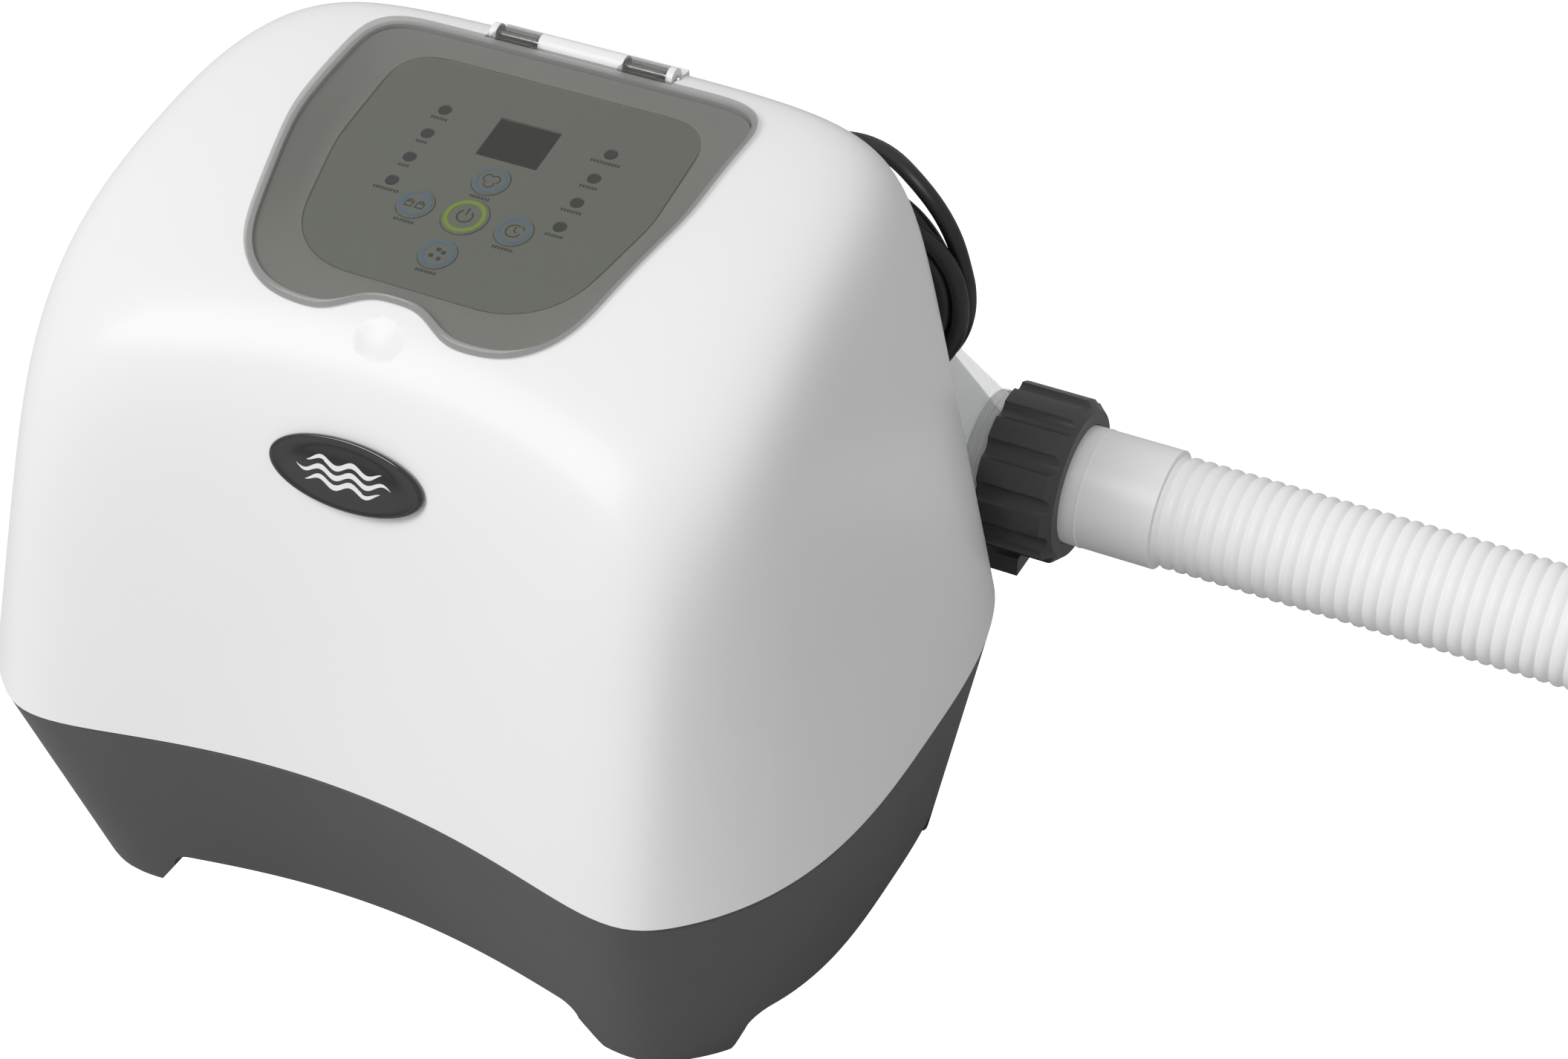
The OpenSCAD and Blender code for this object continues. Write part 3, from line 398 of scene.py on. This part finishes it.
MATS = {
    "white_plastic": grained("white_plastic", (0.87, 0.87, 0.873), 0.34, 1400, 0.00001, 0.02, 0.1),
    "grey_plastic": grained("grey_plastic", (0.088, 0.088, 0.091), 0.46, 1500, 0.00005, 0.08),
    "dark_plastic": grained("dark_plastic", (0.04, 0.04, 0.042), 0.5, 1500, 0.00005, 0.08),
    "light_grey_plastic": grained("light_grey_plastic", (0.56, 0.57, 0.52), 0.4, 1500, 0.00002),
    "keypad_film": grained("keypad_film", (0.36, 0.37, 0.325), 0.5, 2600, 0.00002, 0.03),
    "black_plastic": grained("black_plastic", (0.058, 0.058, 0.06), 0.36, 1500, 0.00003, 0.1),
    "badge_black": grained("badge_black", (0.012, 0.012, 0.013), 0.12, 900, 0.000004, 0.05, 0.8),
    "black_rubber": grained("black_rubber", (0.02, 0.02, 0.02), 0.7, 1800, 0.00006, 0.15),
    "red_rubber": grained("red_rubber", (0.2, 0.03, 0.02), 0.6, 1800, 0.00005, 0.1),
    "steel": grained("steel", (0.62, 0.62, 0.63), 0.3, 2400, 0.00001, 0.05, metal=1.0),
    "brass": grained("brass", (0.6, 0.42, 0.18), 0.32, 2400, 0.00001, 0.08, metal=1.0),
    "aluminium": grained("aluminium", (0.7, 0.7, 0.72), 0.36, 2400, 0.00002, 0.05, metal=1.0),
    "titanium": grained("titanium", (0.1, 0.1, 0.11), 0.5, 2400, 0.00003, 0.1, metal=0.7),
    "smoked_clear": grained("smoked_clear", (0.085, 0.09, 0.078), 0.12, 1200, 0.000003, 0.03, 0.1,
                            alpha=0.3),
    "clear_plastic": grained("clear_plastic", (0.74, 0.76, 0.76), 0.12, 1200, 0.000006, 0.05, 0.2,
                             alpha=0.42),
    "dark_window": grained("dark_window", (0.008, 0.007, 0.014), 0.12, 1200, 0.000002, 0.02,
                           alpha=0.86),
    "red_display": grained("red_display", (0.09, 0.07, 0.09), 0.4, 1500, 0.00001),
    "lamp_lens": grained("lamp_lens", (0.03, 0.028, 0.05), 0.15, 1500, 0.00001, 0.05, 0.6),
    "green_button": grained("green_button", (0.355, 0.38, 0.3), 0.48, 2600, 0.00002, 0.03),
    "blue_button": grained("blue_button", (0.355, 0.365, 0.335), 0.48, 2600, 0.00002, 0.03),
    "board_green": grained("board_green", (0.015, 0.12, 0.04), 0.35, 700, 0.00002, 0.1),
    "transformer_brown": grained("transformer_brown", (0.2, 0.09, 0.04), 0.4, 900, 0.00004, 0.15),
    "capacitor_blue": grained("capacitor_blue", (0.01, 0.02, 0.08), 0.35, 900, 0.00002, 0.1),
    "relay_blue": grained("relay_blue", (0.01, 0.05, 0.2), 0.35, 900, 0.00002, 0.1),
    "ribbon_grey": grained("ribbon_grey", (0.3, 0.3, 0.32), 0.5, 900, 0.00004, 0.1),
    "cable_black": grained("cable_black", (0.014, 0.014, 0.015), 0.4, 2200, 0.00005, 0.15),
    "paddle_yellow": grained("paddle_yellow", (0.6, 0.45, 0.05), 0.4, 1500, 0.00002),
    "hose_white": grained("hose_white", (0.96, 0.96, 0.962), 0.38, 1500, 0.00003, 0.02),
    "print_dark": grained("print_dark", (0.05, 0.052, 0.045), 0.5, 2600, 0.00001, 0.02),
    "print_blue": grained("print_blue", (0.2, 0.38, 0.56), 0.5, 2600, 0.00001, 0.02),
    "print_green": grained("print_green", (0.5, 0.78, 0.05), 0.5, 2600, 0.00001, 0.02),
    "print_white": grained("print_white", (0.8, 0.8, 0.8), 0.4, 2600, 0.00001, 0.02),
}


def finish_piece(obj, slot, body="frame", mat=None):
    """Material, slot and body of a piece."""
    obj.data.materials.clear()
    obj.data.materials.append(MATS[mat or slot])
    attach(obj, body)
    return obj


# ---------------------------------------------------------------- housing and base
SCOOP_AT, SCOOP_R = (0, -128.5, 293), 34
FOOT_H = 24  # height of the arches between the feet
NOTCH_HALF, NOTCH_Z = 39, 295  # the notch for the hinge bar
BACK_HOLES = [(54, 246, 8), (20, 190, 5), (-52, 205, 5), (-100, 195, 3)]  # x, z, radius
BOSSES = [(-112, -100), (112, -100), (-126, -16), (126, -16)]


def ball(name, at, r):
    rings = []
    for j in range(1, 24):
        q = math.pi * j / 24 - math.pi / 2
        ring = [2 * math.pi * i / 48 for i in range(48)]
        rings.append([(at[0] + r * math.cos(q) * math.cos(p), at[1] + r * math.cos(q) * math.sin(p),
                       at[2] + r * math.sin(q)) for p in ring])
    return loft(name, rings)


def housing_solid(name, inset, drop, around, up):
    az = np.linspace(0, 2 * math.pi, around, endpoint=False)
    rings = []
    for el in np.radians(np.linspace(0, 89.5, up)):
        c = direction(az, el)
        c = (c[0], c[1], np.full_like(c[0], c[2]))
        r = housing_r(*c) - inset
        rings.append(np.stack([r * c[0], EYE_Y + r * c[1], SEAM_Z + r * c[2]], axis=1))
    if drop:
        rings.insert(0, rings[0] - (0, 0, drop))
    return loft(name, rings)


def add_upper_shell():
    cavity = housing_solid("cavity", WALL + 1, 2, 120, 36)
    hinge_wall = block("n", (-NOTCH_HALF - 4, 27, NOTCH_Z - 4), (NOTCH_HALF + 4, 52, TOP_Z + 5))
    cut(cavity, [rod("t", *TROUGH, TROUGH_R + WALL),
                 prism("p", lid_ring(-1.5), on_panel, -6, 40),
                 hinge_wall,
                 ball("b", SCOOP_AT, SCOOP_R + 4)]
        + [rod("r", (x, y, 90), (x, y, TOP_Z), 7) for x, y in BOSSES])
    shell = housing_solid("upper_shell", 0, 0, 360, 120)
    hinge_notch = block("n", (-NOTCH_HALF, 31, NOTCH_Z), (NOTCH_HALF, 47.3, TOP_Z + 26))
    cut(shell, [cavity, rod("t", *TROUGH, TROUGH_R),
                prism("p", lid_ring(POCKET_INSET), on_panel, -3, 50),
                prism("q", hull_outline(LID_CIRCLES, 12), on_panel, -40, 20),
                ball("b", SCOOP_AT, SCOOP_R),
                hinge_notch]
        + [rod("g", (x, 40, z), (x, 90, z), r) for x, z, r in BACK_HOLES]
        + [block("v", (x, 30, z), (x + 12, 80, z + 4))
           for x in (-82, -58, -34) for z in (246, 256)])
    shade(shell)
    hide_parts("upper_housing")
    finish_piece(shell, "white_plastic")


def base_solid(name, inset, levels, count):
    """Tapered base through (z, extra inset) levels."""
    az = np.linspace(0, 2 * math.pi, count, endpoint=False)
    cx, cy = np.cos(az), np.sin(az)
    seam = housing_r(cx, cy, np.zeros_like(cx))
    rings = []
    for z, extra in levels:
        k = (SEAM_Z - z) / SEAM_Z
        r = seam - inset - extra
        rings.append(np.stack([r * cx * (1 - TAPER_X * k), EYE_Y + r * cy * (1 - TAPER_Y * k),
                               np.full_like(cx, z)], axis=1))
    return loft(name, rings)


def arch(w, h, flare, soft=8):
    """Arch outline with slanting sides, rounded at the top."""
    arc = np.radians(np.linspace(0, 90, 9))
    right = [(w / 2 - soft + soft * math.cos(a), h - soft + soft * math.sin(a)) for a in arc]
    return ([(-w / 2 - flare / 2, -1), (w / 2 + flare / 2, -1)] + right
            + [(-x, z) for x, z in right[::-1]])


def add_base_shell():
    base = base_solid("base_shell", 0, [(1.5, 2.5), (2.1, 1.2), (3.6, 0.3), (6, 0), (50, 0),
                                        (102.2, 0), (103.2, 0.8)], 360)
    hollow = base_solid("hollow", WALL, [(28, 0), (105, 0)], 120)
    cut(hollow, [rod("t", *TROUGH, TROUGH_R + WALL)])
    front = prism("a", arch(180, FOOT_H, 24), lambda x, z, y: (x, y, z), -400, 200)
    side = prism("a", arch(136, FOOT_H, 4), lambda y, z, x: (x, y - 59, z), -300, 300)
    cut(base, [hollow, rod("t", *TROUGH, TROUGH_R), front, side,
               block("k", (-112.3, 40, 59.7), (112.3, 90, 68.3)),
               block("k", (-74, -84, 15), (74, 4, 29))]
        + [block("v", (x - 1.6, 30, 45), (x + 1.6, 90, 55)) for x in range(-45, 50, 10)])
    shade(base, 30)
    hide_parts("base")
    finish_piece(base, "grey_plastic")


# ---------------------------------------------------------------- lid
LID_T, LID_GAP = 2.2, 0.6
HINGE_Y, HINGE_Z, KNUCKLE_X, KNUCKLE_HALF = 37, 302.4, 26.5, 8.5


def lid_points(ring, lift):
    xy = np.array([on_panel(x, s, 8)[:2] for x, s in ring])
    z = top_height(xy[:, 0], xy[:, 1])
    return np.stack([xy[:, 0], xy[:, 1], z + LID_GAP + lift], axis=1)


def add_lid():
    rims = [(0.5, 0.1), (0.1, 0.5), (0.0, 1.2), (0.3, 1.9), (0.8, 2.3), (1.4, 2.4), (2.0, 2.3),
            (2.6, 2.0)]
    inner = lid_ring(5.5)
    middle = np.array([0, -52.0])
    shares = [1.0, 0.9, 0.78, 0.64, 0.48, 0.32, 0.16, 0.04]
    grid = [middle + (inner - middle) * k for k in shares]
    rings = [lid_points(g, LID_T) for g in grid[::-1]]
    rings += [lid_points(lid_ring(i), lift) for i, lift in rims[::-1]]
    rings += [lid_points(lid_ring(i), 0) for i in (1.4, 3.0)]
    rings += [lid_points(g, 0) for g in grid]
    lid = loft("lid_shell", rings)
    parts = [lid]
    for middle_x in (-KNUCKLE_X, KNUCKLE_X):
        x0, x1 = middle_x - KNUCKLE_HALF, middle_x + KNUCKLE_HALF
        parts.append(rod("knuckle", (x0, HINGE_Y, HINGE_Z), (x1, HINGE_Y, HINGE_Z), 4, 40))
        parts.append(block("arm", (x0, 28.5, HINGE_Z + 2.4), (x1, HINGE_Y, HINGE_Z + 3.9)))
    for part in parts:
        shade(part, 45)
        part.data.materials.clear()
        part.data.materials.append(MATS["smoked_clear"])
    for part in parts[1:]:
        soften(part, 0.5)
    names = ["lid_shell", "lid_knuckle_left", "lid_arm_left", "lid_knuckle_right", "lid_arm_right"]
    for part, name in zip(parts, names):
        part.name = name
        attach(part, "lid")
    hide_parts("lid")


# ---------------------------------------------------------------- keypad
def ribbon(points, width, h, lift=0.12, closed=False):
    """Flat raised stroke along 2-D points on the keypad: its points and faces."""
    p = np.array(points, float)
    nxt = np.roll(p, -1, axis=0) if closed else np.vstack([p[1:], 2 * p[-1:] - p[-2:-1]])
    prv = np.roll(p, 1, axis=0) if closed else np.vstack([2 * p[:1] - p[1:2], p[:-1]])
    t = nxt - prv
    t /= np.linalg.norm(t, axis=1)[:, None]
    n = np.stack([-t[:, 1], t[:, 0]], axis=1) * width / 2
    rows = []
    for q, m in zip(p, n):
        rows.append([on_panel(*(q + m), h), on_panel(*(q + m), h + lift),
                     on_panel(*(q - m), h + lift), on_panel(*(q - m), h)])
    pts = [v for row in rows for v in row]
    count = len(rows)
    faces = []
    for j in range(count if closed else count - 1):
        a, b = 4 * j, 4 * ((j + 1) % count)
        faces += [(a + i, a + (i + 1) % 4, b + (i + 1) % 4, b + i) for i in range(4)]
    if not closed:
        e = 4 * (count - 1)
        faces += [(3, 2, 1, 0), (e, e + 1, e + 2, e + 3)]
    return pts, faces


def arc(cx, cy, r, a0, a1, n=24):
    return [(cx + r * math.cos(math.radians(a0 + (a1 - a0) * i / n)),
             cy + r * math.sin(math.radians(a0 + (a1 - a0) * i / n))) for i in range(n + 1)]


def strokes(name, lines, h, slot, body, mat):
    """One piece from several strokes (points, width, closed)."""
    pts, faces = [], []
    for line, width, closed in lines:
        p, f = ribbon(line, width, h, closed=closed)
        faces += [tuple(i + len(pts) for i in face) for face in f]
        pts += p
    return finish_piece(new_object(name, pts, faces, smooth=False), slot, body, mat)


LAMP_X, LAMP_S = 34.2, (-26, -38.8, -51.6, -64.2)
BUTTONS = {"power_button": (0, -71.5, 8.75), "boost_button": (0, -52.7, 7),
           "lock_button": (-20, -72, 7), "timer_button": (20, -72, 7),
           "clean_button": (0, -91, 7)}


def icon_lines(kind, x, s):
    if kind == "power_button":
        return [(arc(x, s, 2.9, 125, 415), 0.55, False), ([(x, s + 0.6), (x, s + 4)], 0.55, False)]
    if kind == "boost_button":
        return [(arc(x + 1.5 * math.cos(q), s + 1.5 * math.sin(q), 1.9, math.degrees(q) - 80,
                     math.degrees(q) + 120, 12), 0.4, False)
                for q in (0.5, 2.6, 4.7)]
    if kind == "lock_button":
        lines = []
        for dx in (-2.2, 2.2):
            box = [(x + dx - 1.4, s - 1.8), (x + dx + 1.4, s - 1.8), (x + dx + 1.4, s + 0.4),
                   (x + dx - 1.4, s + 0.4)]
            lines += [(box, 0.5, True), (arc(x + dx, s + 0.5, 1.0, 0, 180, 10), 0.4, False)]
        return lines
    if kind == "timer_button":
        return [(arc(x, s, 2.9, 60, 345), 0.45, False), ([(x, s), (x, s + 2)], 0.45, False),
                ([(x, s), (x + 1.4, s - 0.6)], 0.45, False),
                ([(x + 2.2, s + 2.9), (x + 3.6, s + 1.4)], 0.45, False)]
    return [(arc(x + dx, s + ds, 0.55, 0, 330, 10), 0.7, True)
            for dx, ds in ((-1.8, -1.4), (1.5, -2.0), (1.9, 1.2), (-0.4, 2.0))]


def word_marks(x, s, count):
    """Row of upright dashes that stands for a printed word."""
    first = x - 0.6 * (count - 1)
    return [([(first + 1.2 * k, s - 0.6), (first + 1.2 * k, s + 0.6)], 0.7, False)
            for k in range(count)]


def add_keypad():
    for name, (x, s, r) in BUTTONS.items():
        power = name == "power_button"
        ring = [(arc(x, s, r - (1.8 if power else 1.4), 0, 351, 39), 1.6 if power else 1.1, True)]
        slot = "green_button" if power else "blue_button"
        strokes(name.replace("button", "ring"), ring, 1.0, slot, name,
                "print_green" if power else "print_blue")
        strokes(name.replace("button", "icon"), icon_lines(name, x, s), 1.0, slot, name,
                "print_dark")
    marks = []
    for i, s in enumerate(LAMP_S):
        for side in (-1, 1):
            count = (6, 4, 4, 9)[i] if side < 0 else (10, 6, 7, 6)[i]
            marks += word_marks(side * LAMP_X, s - 4.6, count)
    for x, s, r in BUTTONS.values():
        if r < 8:
            marks += word_marks(x, s - r - 1.6, 7)
    strokes("legend_marks", marks, 0.6, "keypad_film", "frame", "print_dark")


def add_surround():
    """Sloped light band between the keypad and the edge of the opening."""
    inner, outer = hull_outline(PAD_CIRCLES, -0.8, 240), lid_ring(POCKET_INSET + 0.3)
    start = int(np.argmin(np.linalg.norm(outer - inner[0], axis=1)))
    outer = np.roll(outer, -start, axis=0)
    rings = []
    low = np.array([on_panel(x, s, 0.05) for x, s in inner])
    lip = np.array([on_panel(x, s, 0.75) for x, s in inner])
    high_xy = np.array([on_panel(x, s, 6)[:2] for x, s in outer])
    top = top_height(high_xy[:, 0], high_xy[:, 1])
    high = np.stack([high_xy[:, 0], high_xy[:, 1], top - 1.6], axis=1)
    flat_in = np.array([on_panel(x, s, 1.2) for x, s in hull_outline(PAD_CIRCLES, -3, 240)])
    rings = [low, lip, flat_in]
    for k in (0.3, 0.6, 0.85):
        rings.append(flat_in + (high - flat_in) * k)
    rings.append(high)
    rings.append(high - (0, 0, 1.2))
    floor = np.array([on_panel(x, s, 0.02) for x, s in outer])
    rings.append(floor)
    band = loft("keypad_surround", rings, closed_path=True)
    shade(band, 45)
    finish_piece(band, "light_grey_plastic")


# ---------------------------------------------------------------- badge
def add_badge():
    tilt = math.radians(17)
    at = Vector((0, -134.3, 227))
    half_w, half_h = 31, 13
    out = Vector((0, -math.cos(tilt), math.sin(tilt)))
    up = Vector((0, math.sin(tilt), math.cos(tilt)))

    def place(x, y, z):
        return at + Vector((1, 0, 0)) * x + up * y + out * z

    turn = [2 * math.pi * i / 96 for i in range(96)]
    rings = []
    for k, z in ((0.985, 0.0), (1.0, 0.5), (1.0, 1.3), (0.985, 1.9), (0.955, 2.15), (0.93, 2.05),
                 (0.7, 2.45), (0.4, 2.7), (0.05, 2.78)):
        rings.append([place(half_w * k * math.cos(q), half_h * k * math.sin(q), z) for q in turn])
    badge = loft("badge_plate", rings)
    shade(badge, 50)
    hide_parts("badge")
    finish_piece(badge, "badge_black")
    pts, faces = [], []
    for dy, half in ((3.6, 15), (0, 19), (-3.6, 15)):
        count = 40
        base = len(pts)
        for i in range(count + 1):
            x = -half + 2 * half * i / count
            y = dy + 1.3 * math.sin(x * 0.5)
            w = 0.95 * (1 - (x / half) ** 4) + 0.05
            k = math.sqrt((x / half_w) ** 2 + (y / half_h) ** 2)
            z = float(np.interp(k, (0.05, 0.4, 0.7, 0.93), (2.78, 2.7, 2.45, 2.05)))
            pts += [place(x, y + w, z - 0.2), place(x, y + w, z + 0.03),
                    place(x, y - w, z + 0.03), place(x, y - w, z - 0.2)]
        for i in range(count):
            a, b = base + 4 * i, base + 4 * i + 4
            faces += [(a + j, a + (j + 1) % 4, b + (j + 1) % 4, b + j) for j in range(4)]
        faces += [(base + 3, base + 2, base + 1, base),
                  tuple(base + 4 * count + j for j in range(4))]
    waves = new_object("badge_waves", pts, faces, smooth=False)
    finish_piece(waves, "badge_black", mat="print_white")


# ---------------------------------------------------------------- vessel threads, hose and cord
def revolve_x(name, profile, sides=96):
    """Surface of revolution about the vessel's axis through (x, r) points."""
    turn = [2 * math.pi * i / sides for i in range(sides)]
    rings = [[(x, VESSEL_Y + r * math.cos(q), VESSEL_Z + r * math.sin(q)) for q in turn]
             for x, r in profile]
    return loft(name, rings, closed_path=True)


def add_cuff_seam():
    """Thin raised line round the cuff, where its two parts meet."""
    seam = revolve_x("cuff_seam", [(188.0, 23.8), (188.3, 24.25), (188.9, 24.25), (189.2, 23.8)])
    shade(seam, 25)
    finish_piece(seam, "hose_white")


def add_threads():
    for name, x0, x1 in (("thread_right", 141.0, 149.5), ("thread_left", -171.0, -142.0)):
        profile = [(x0, 27.3)]
        x = x0 + 0.4
        while x < x1 - 2.0:
            profile += [(x, 27.5), (x + 0.7, 28.2), (x + 1.2, 28.2), (x + 1.9, 27.5)]
            x += 2.6
        profile.append((x1, 27.3))
        ring = revolve_x(name, profile)
        shade(ring, 25)
        finish_piece(ring, "clear_plastic")


HOSE_LOW = 23.3
HOSE_ROUTE = [(219, 96, 127), (300, 96, 127), (380, 96, 127), (420, 96, 126.5), (460, 96, 121),
              (500, 96, 106), (541, 96, 75), (583, 96, 44), (623, 96, 28), (668, 96, HOSE_LOW),
              (768, 69, HOSE_LOW), (841, -4, HOSE_LOW), (868, -104, HOSE_LOW),
              (841, -204, HOSE_LOW), (768, -277, HOSE_LOW), (668, -304, HOSE_LOW),
              (568, -277, HOSE_LOW), (495, -204, HOSE_LOW), (469, -104, 28), (484, -26, 34.5)]


def smooth_route(route, n):
    r = np.array(route, float)
    m = len(r) - 1
    out = []
    for i in range(m):
        p0, p1, p2, p3 = r[max(i - 1, 0)], r[i], r[i + 1], r[min(i + 2, m)]
        for k in range(n):
            t = k / n
            out.append(0.5 * (2 * p1 + (p2 - p0) * t + (2 * p0 - 5 * p1 + 4 * p2 - p3) * t * t
                              + (3 * p1 - p0 - 3 * p2 + p3) * t ** 3))
    out.append(r[-1])
    return np.array(out)


def spaced(points, step):
    run = np.concatenate([[0], np.cumsum(np.linalg.norm(np.diff(points, axis=0), axis=1))])
    count = max(2, int(round(run[-1] / step)) + 1)
    at = np.linspace(0, run[-1], count)
    return np.stack([np.interp(at, run, points[:, k]) for k in range(3)], axis=1)


def add_hose():
    pitch, per = 5.5, 6
    line = spaced(smooth_route(HOSE_ROUTE, 24), pitch / per)
    tangent = np.gradient(line, axis=0)
    tangent /= np.linalg.norm(tangent, axis=1)[:, None]
    u = np.cross((0, 0, 1.0), tangent)
    u /= np.linalg.norm(u, axis=1)[:, None]
    v = np.cross(tangent, u)
    turn = np.linspace(0, 2 * math.pi, 48, endpoint=False)
    rings = []
    for i, p in enumerate(line):
        phase = (i % per) / per
        r = 22.5 - 1.1 * (0.5 - 0.5 * math.cos(2 * math.pi * phase)) ** 2.6
        rings.append(p + r * (np.outer(np.cos(turn), u[i]) + np.outer(np.sin(turn), v[i])))
    hose = loft("hose_skin", rings)
    shade(hose, 60)
    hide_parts("hose")
    finish_piece(hose, "hose_white")


CORD_LEAD = [(54, 62, 246), (54, 84, 246), (57, 97, 246.6), (67, 105, 248), (82, 104, 251),
             (97, 96, 253.6), (111, 87, 252.4), (123, 82, 245.5), (131, 80, 235),
             (136, 79.4, 221)]
CORD_TAIL = [(97.5, 72.6, 168.9), (84, 75, 169.6), (70, 84, 172.6), (58, 96, 174.6),
             (50, 110, 173), (47, 124, 166), (47, 138, 152), (50, 148, 130), (54, 154, 105),
             (58, 157, 75), (60, 159, 45), (58, 161, 20), (46, 163, 6), (28, 166, 3.9),
             (10, 168, 6), (-6, 168, 12)]
COIL_AT = (97.5, 76.0, 209.0)


def coil_points():
    """Turns of the coil, from the lead's end round to the start of the tail."""
    a0, a1 = math.radians(17), math.radians(-90 - 1800)
    layers = [(40.1, 3.4), (33.3, 3.4), (26.4, 3.4), (26.4, -3.4), (33.3, -3.4), (40.1, -3.4)]
    out = []
    count = 170
    for i in range(1, count):
        q = a0 + (a1 - a0) * i / count
        n = (a0 - q) / (2 * math.pi)
        k = min(int(n), 5)
        blend = min(max((n - k - 0.75) / 0.25, 0), 1)
        blend = blend * blend * (3 - 2 * blend)
        (r0, y0), (r1, y1) = layers[k], layers[min(k + 1, 5)]
        r, y = r0 + (r1 - r0) * blend, y0 + (y1 - y0) * blend
        out.append((COIL_AT[0] + r * math.cos(q), COIL_AT[1] + y, COIL_AT[2] + r * math.sin(q)))
    return out


def add_cord():
    route = CORD_LEAD + coil_points() + CORD_TAIL
    line = smooth_route(route, 4)
    data = bpy.data.curves.new("cord_curve", "CURVE")
    data.dimensions = "3D"
    spline = data.splines.new("POLY")
    spline.points.add(len(line) - 1)
    for point, p in zip(spline.points, line):
        point.co = (*(p * MM), 1)
    data.bevel_depth = 3.4 * MM
    data.bevel_resolution = 5
    data.use_fill_caps = True
    cord = bpy.data.objects.new("cord_line", data)
    bpy.context.scene.collection.objects.link(cord)
    data.materials.append(MATS["cable_black"])
    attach(cord, "frame")
    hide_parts("power_cord", "cord_coil")


# ---------------------------------------------------------------- CAD nodes that stay
BEVELS = {"hose_nut": 1.2, "hose_end_nut": 1.2, "hose_cuff": 0.8, "hose_end_cuff": 0.8,
          "hinge_bracket": 0.6, "rear_shelf": 0.8, "vessel_cradle": 0.8, "cell_cap": 0.8,
          "cell_collar": 0.8, "flow_sensor": 0.6, "flow_sensor_nut": 0.6, "plug": 3.0,
          "foot_pads": 0.4, "indicator_lamps": 0.7, "base_plate": 0.5, "cord_gland": 0.5,
          "bonding_terminal": 0.4, "coil_tie": 0.4, "power_button": 0.15, "boost_button": 0.15,
          "lock_button": 0.15, "timer_button": 0.15, "clean_button": 0.15, "relays": 0.5,
          "capacitors": 0.8, "transformer": 0.6, "cell_cable_glands": 0.5}


def dress_nodes():
    slots = {s["node"]: s["material_slot"] for s in frame["record"]["subparts"]}
    for name, obj in NODES.items():
        obj.data.materials.clear()
        obj.data.materials.append(MATS[slots[name]])
        if name in BEVELS:
            soften(obj, BEVELS[name])


add_camera()
add_stage()
add_hose()
add_cord()
dress_nodes()
add_upper_shell()
add_base_shell()
add_lid()
add_surround()
add_keypad()
add_badge()
add_threads()
add_cuff_seam()
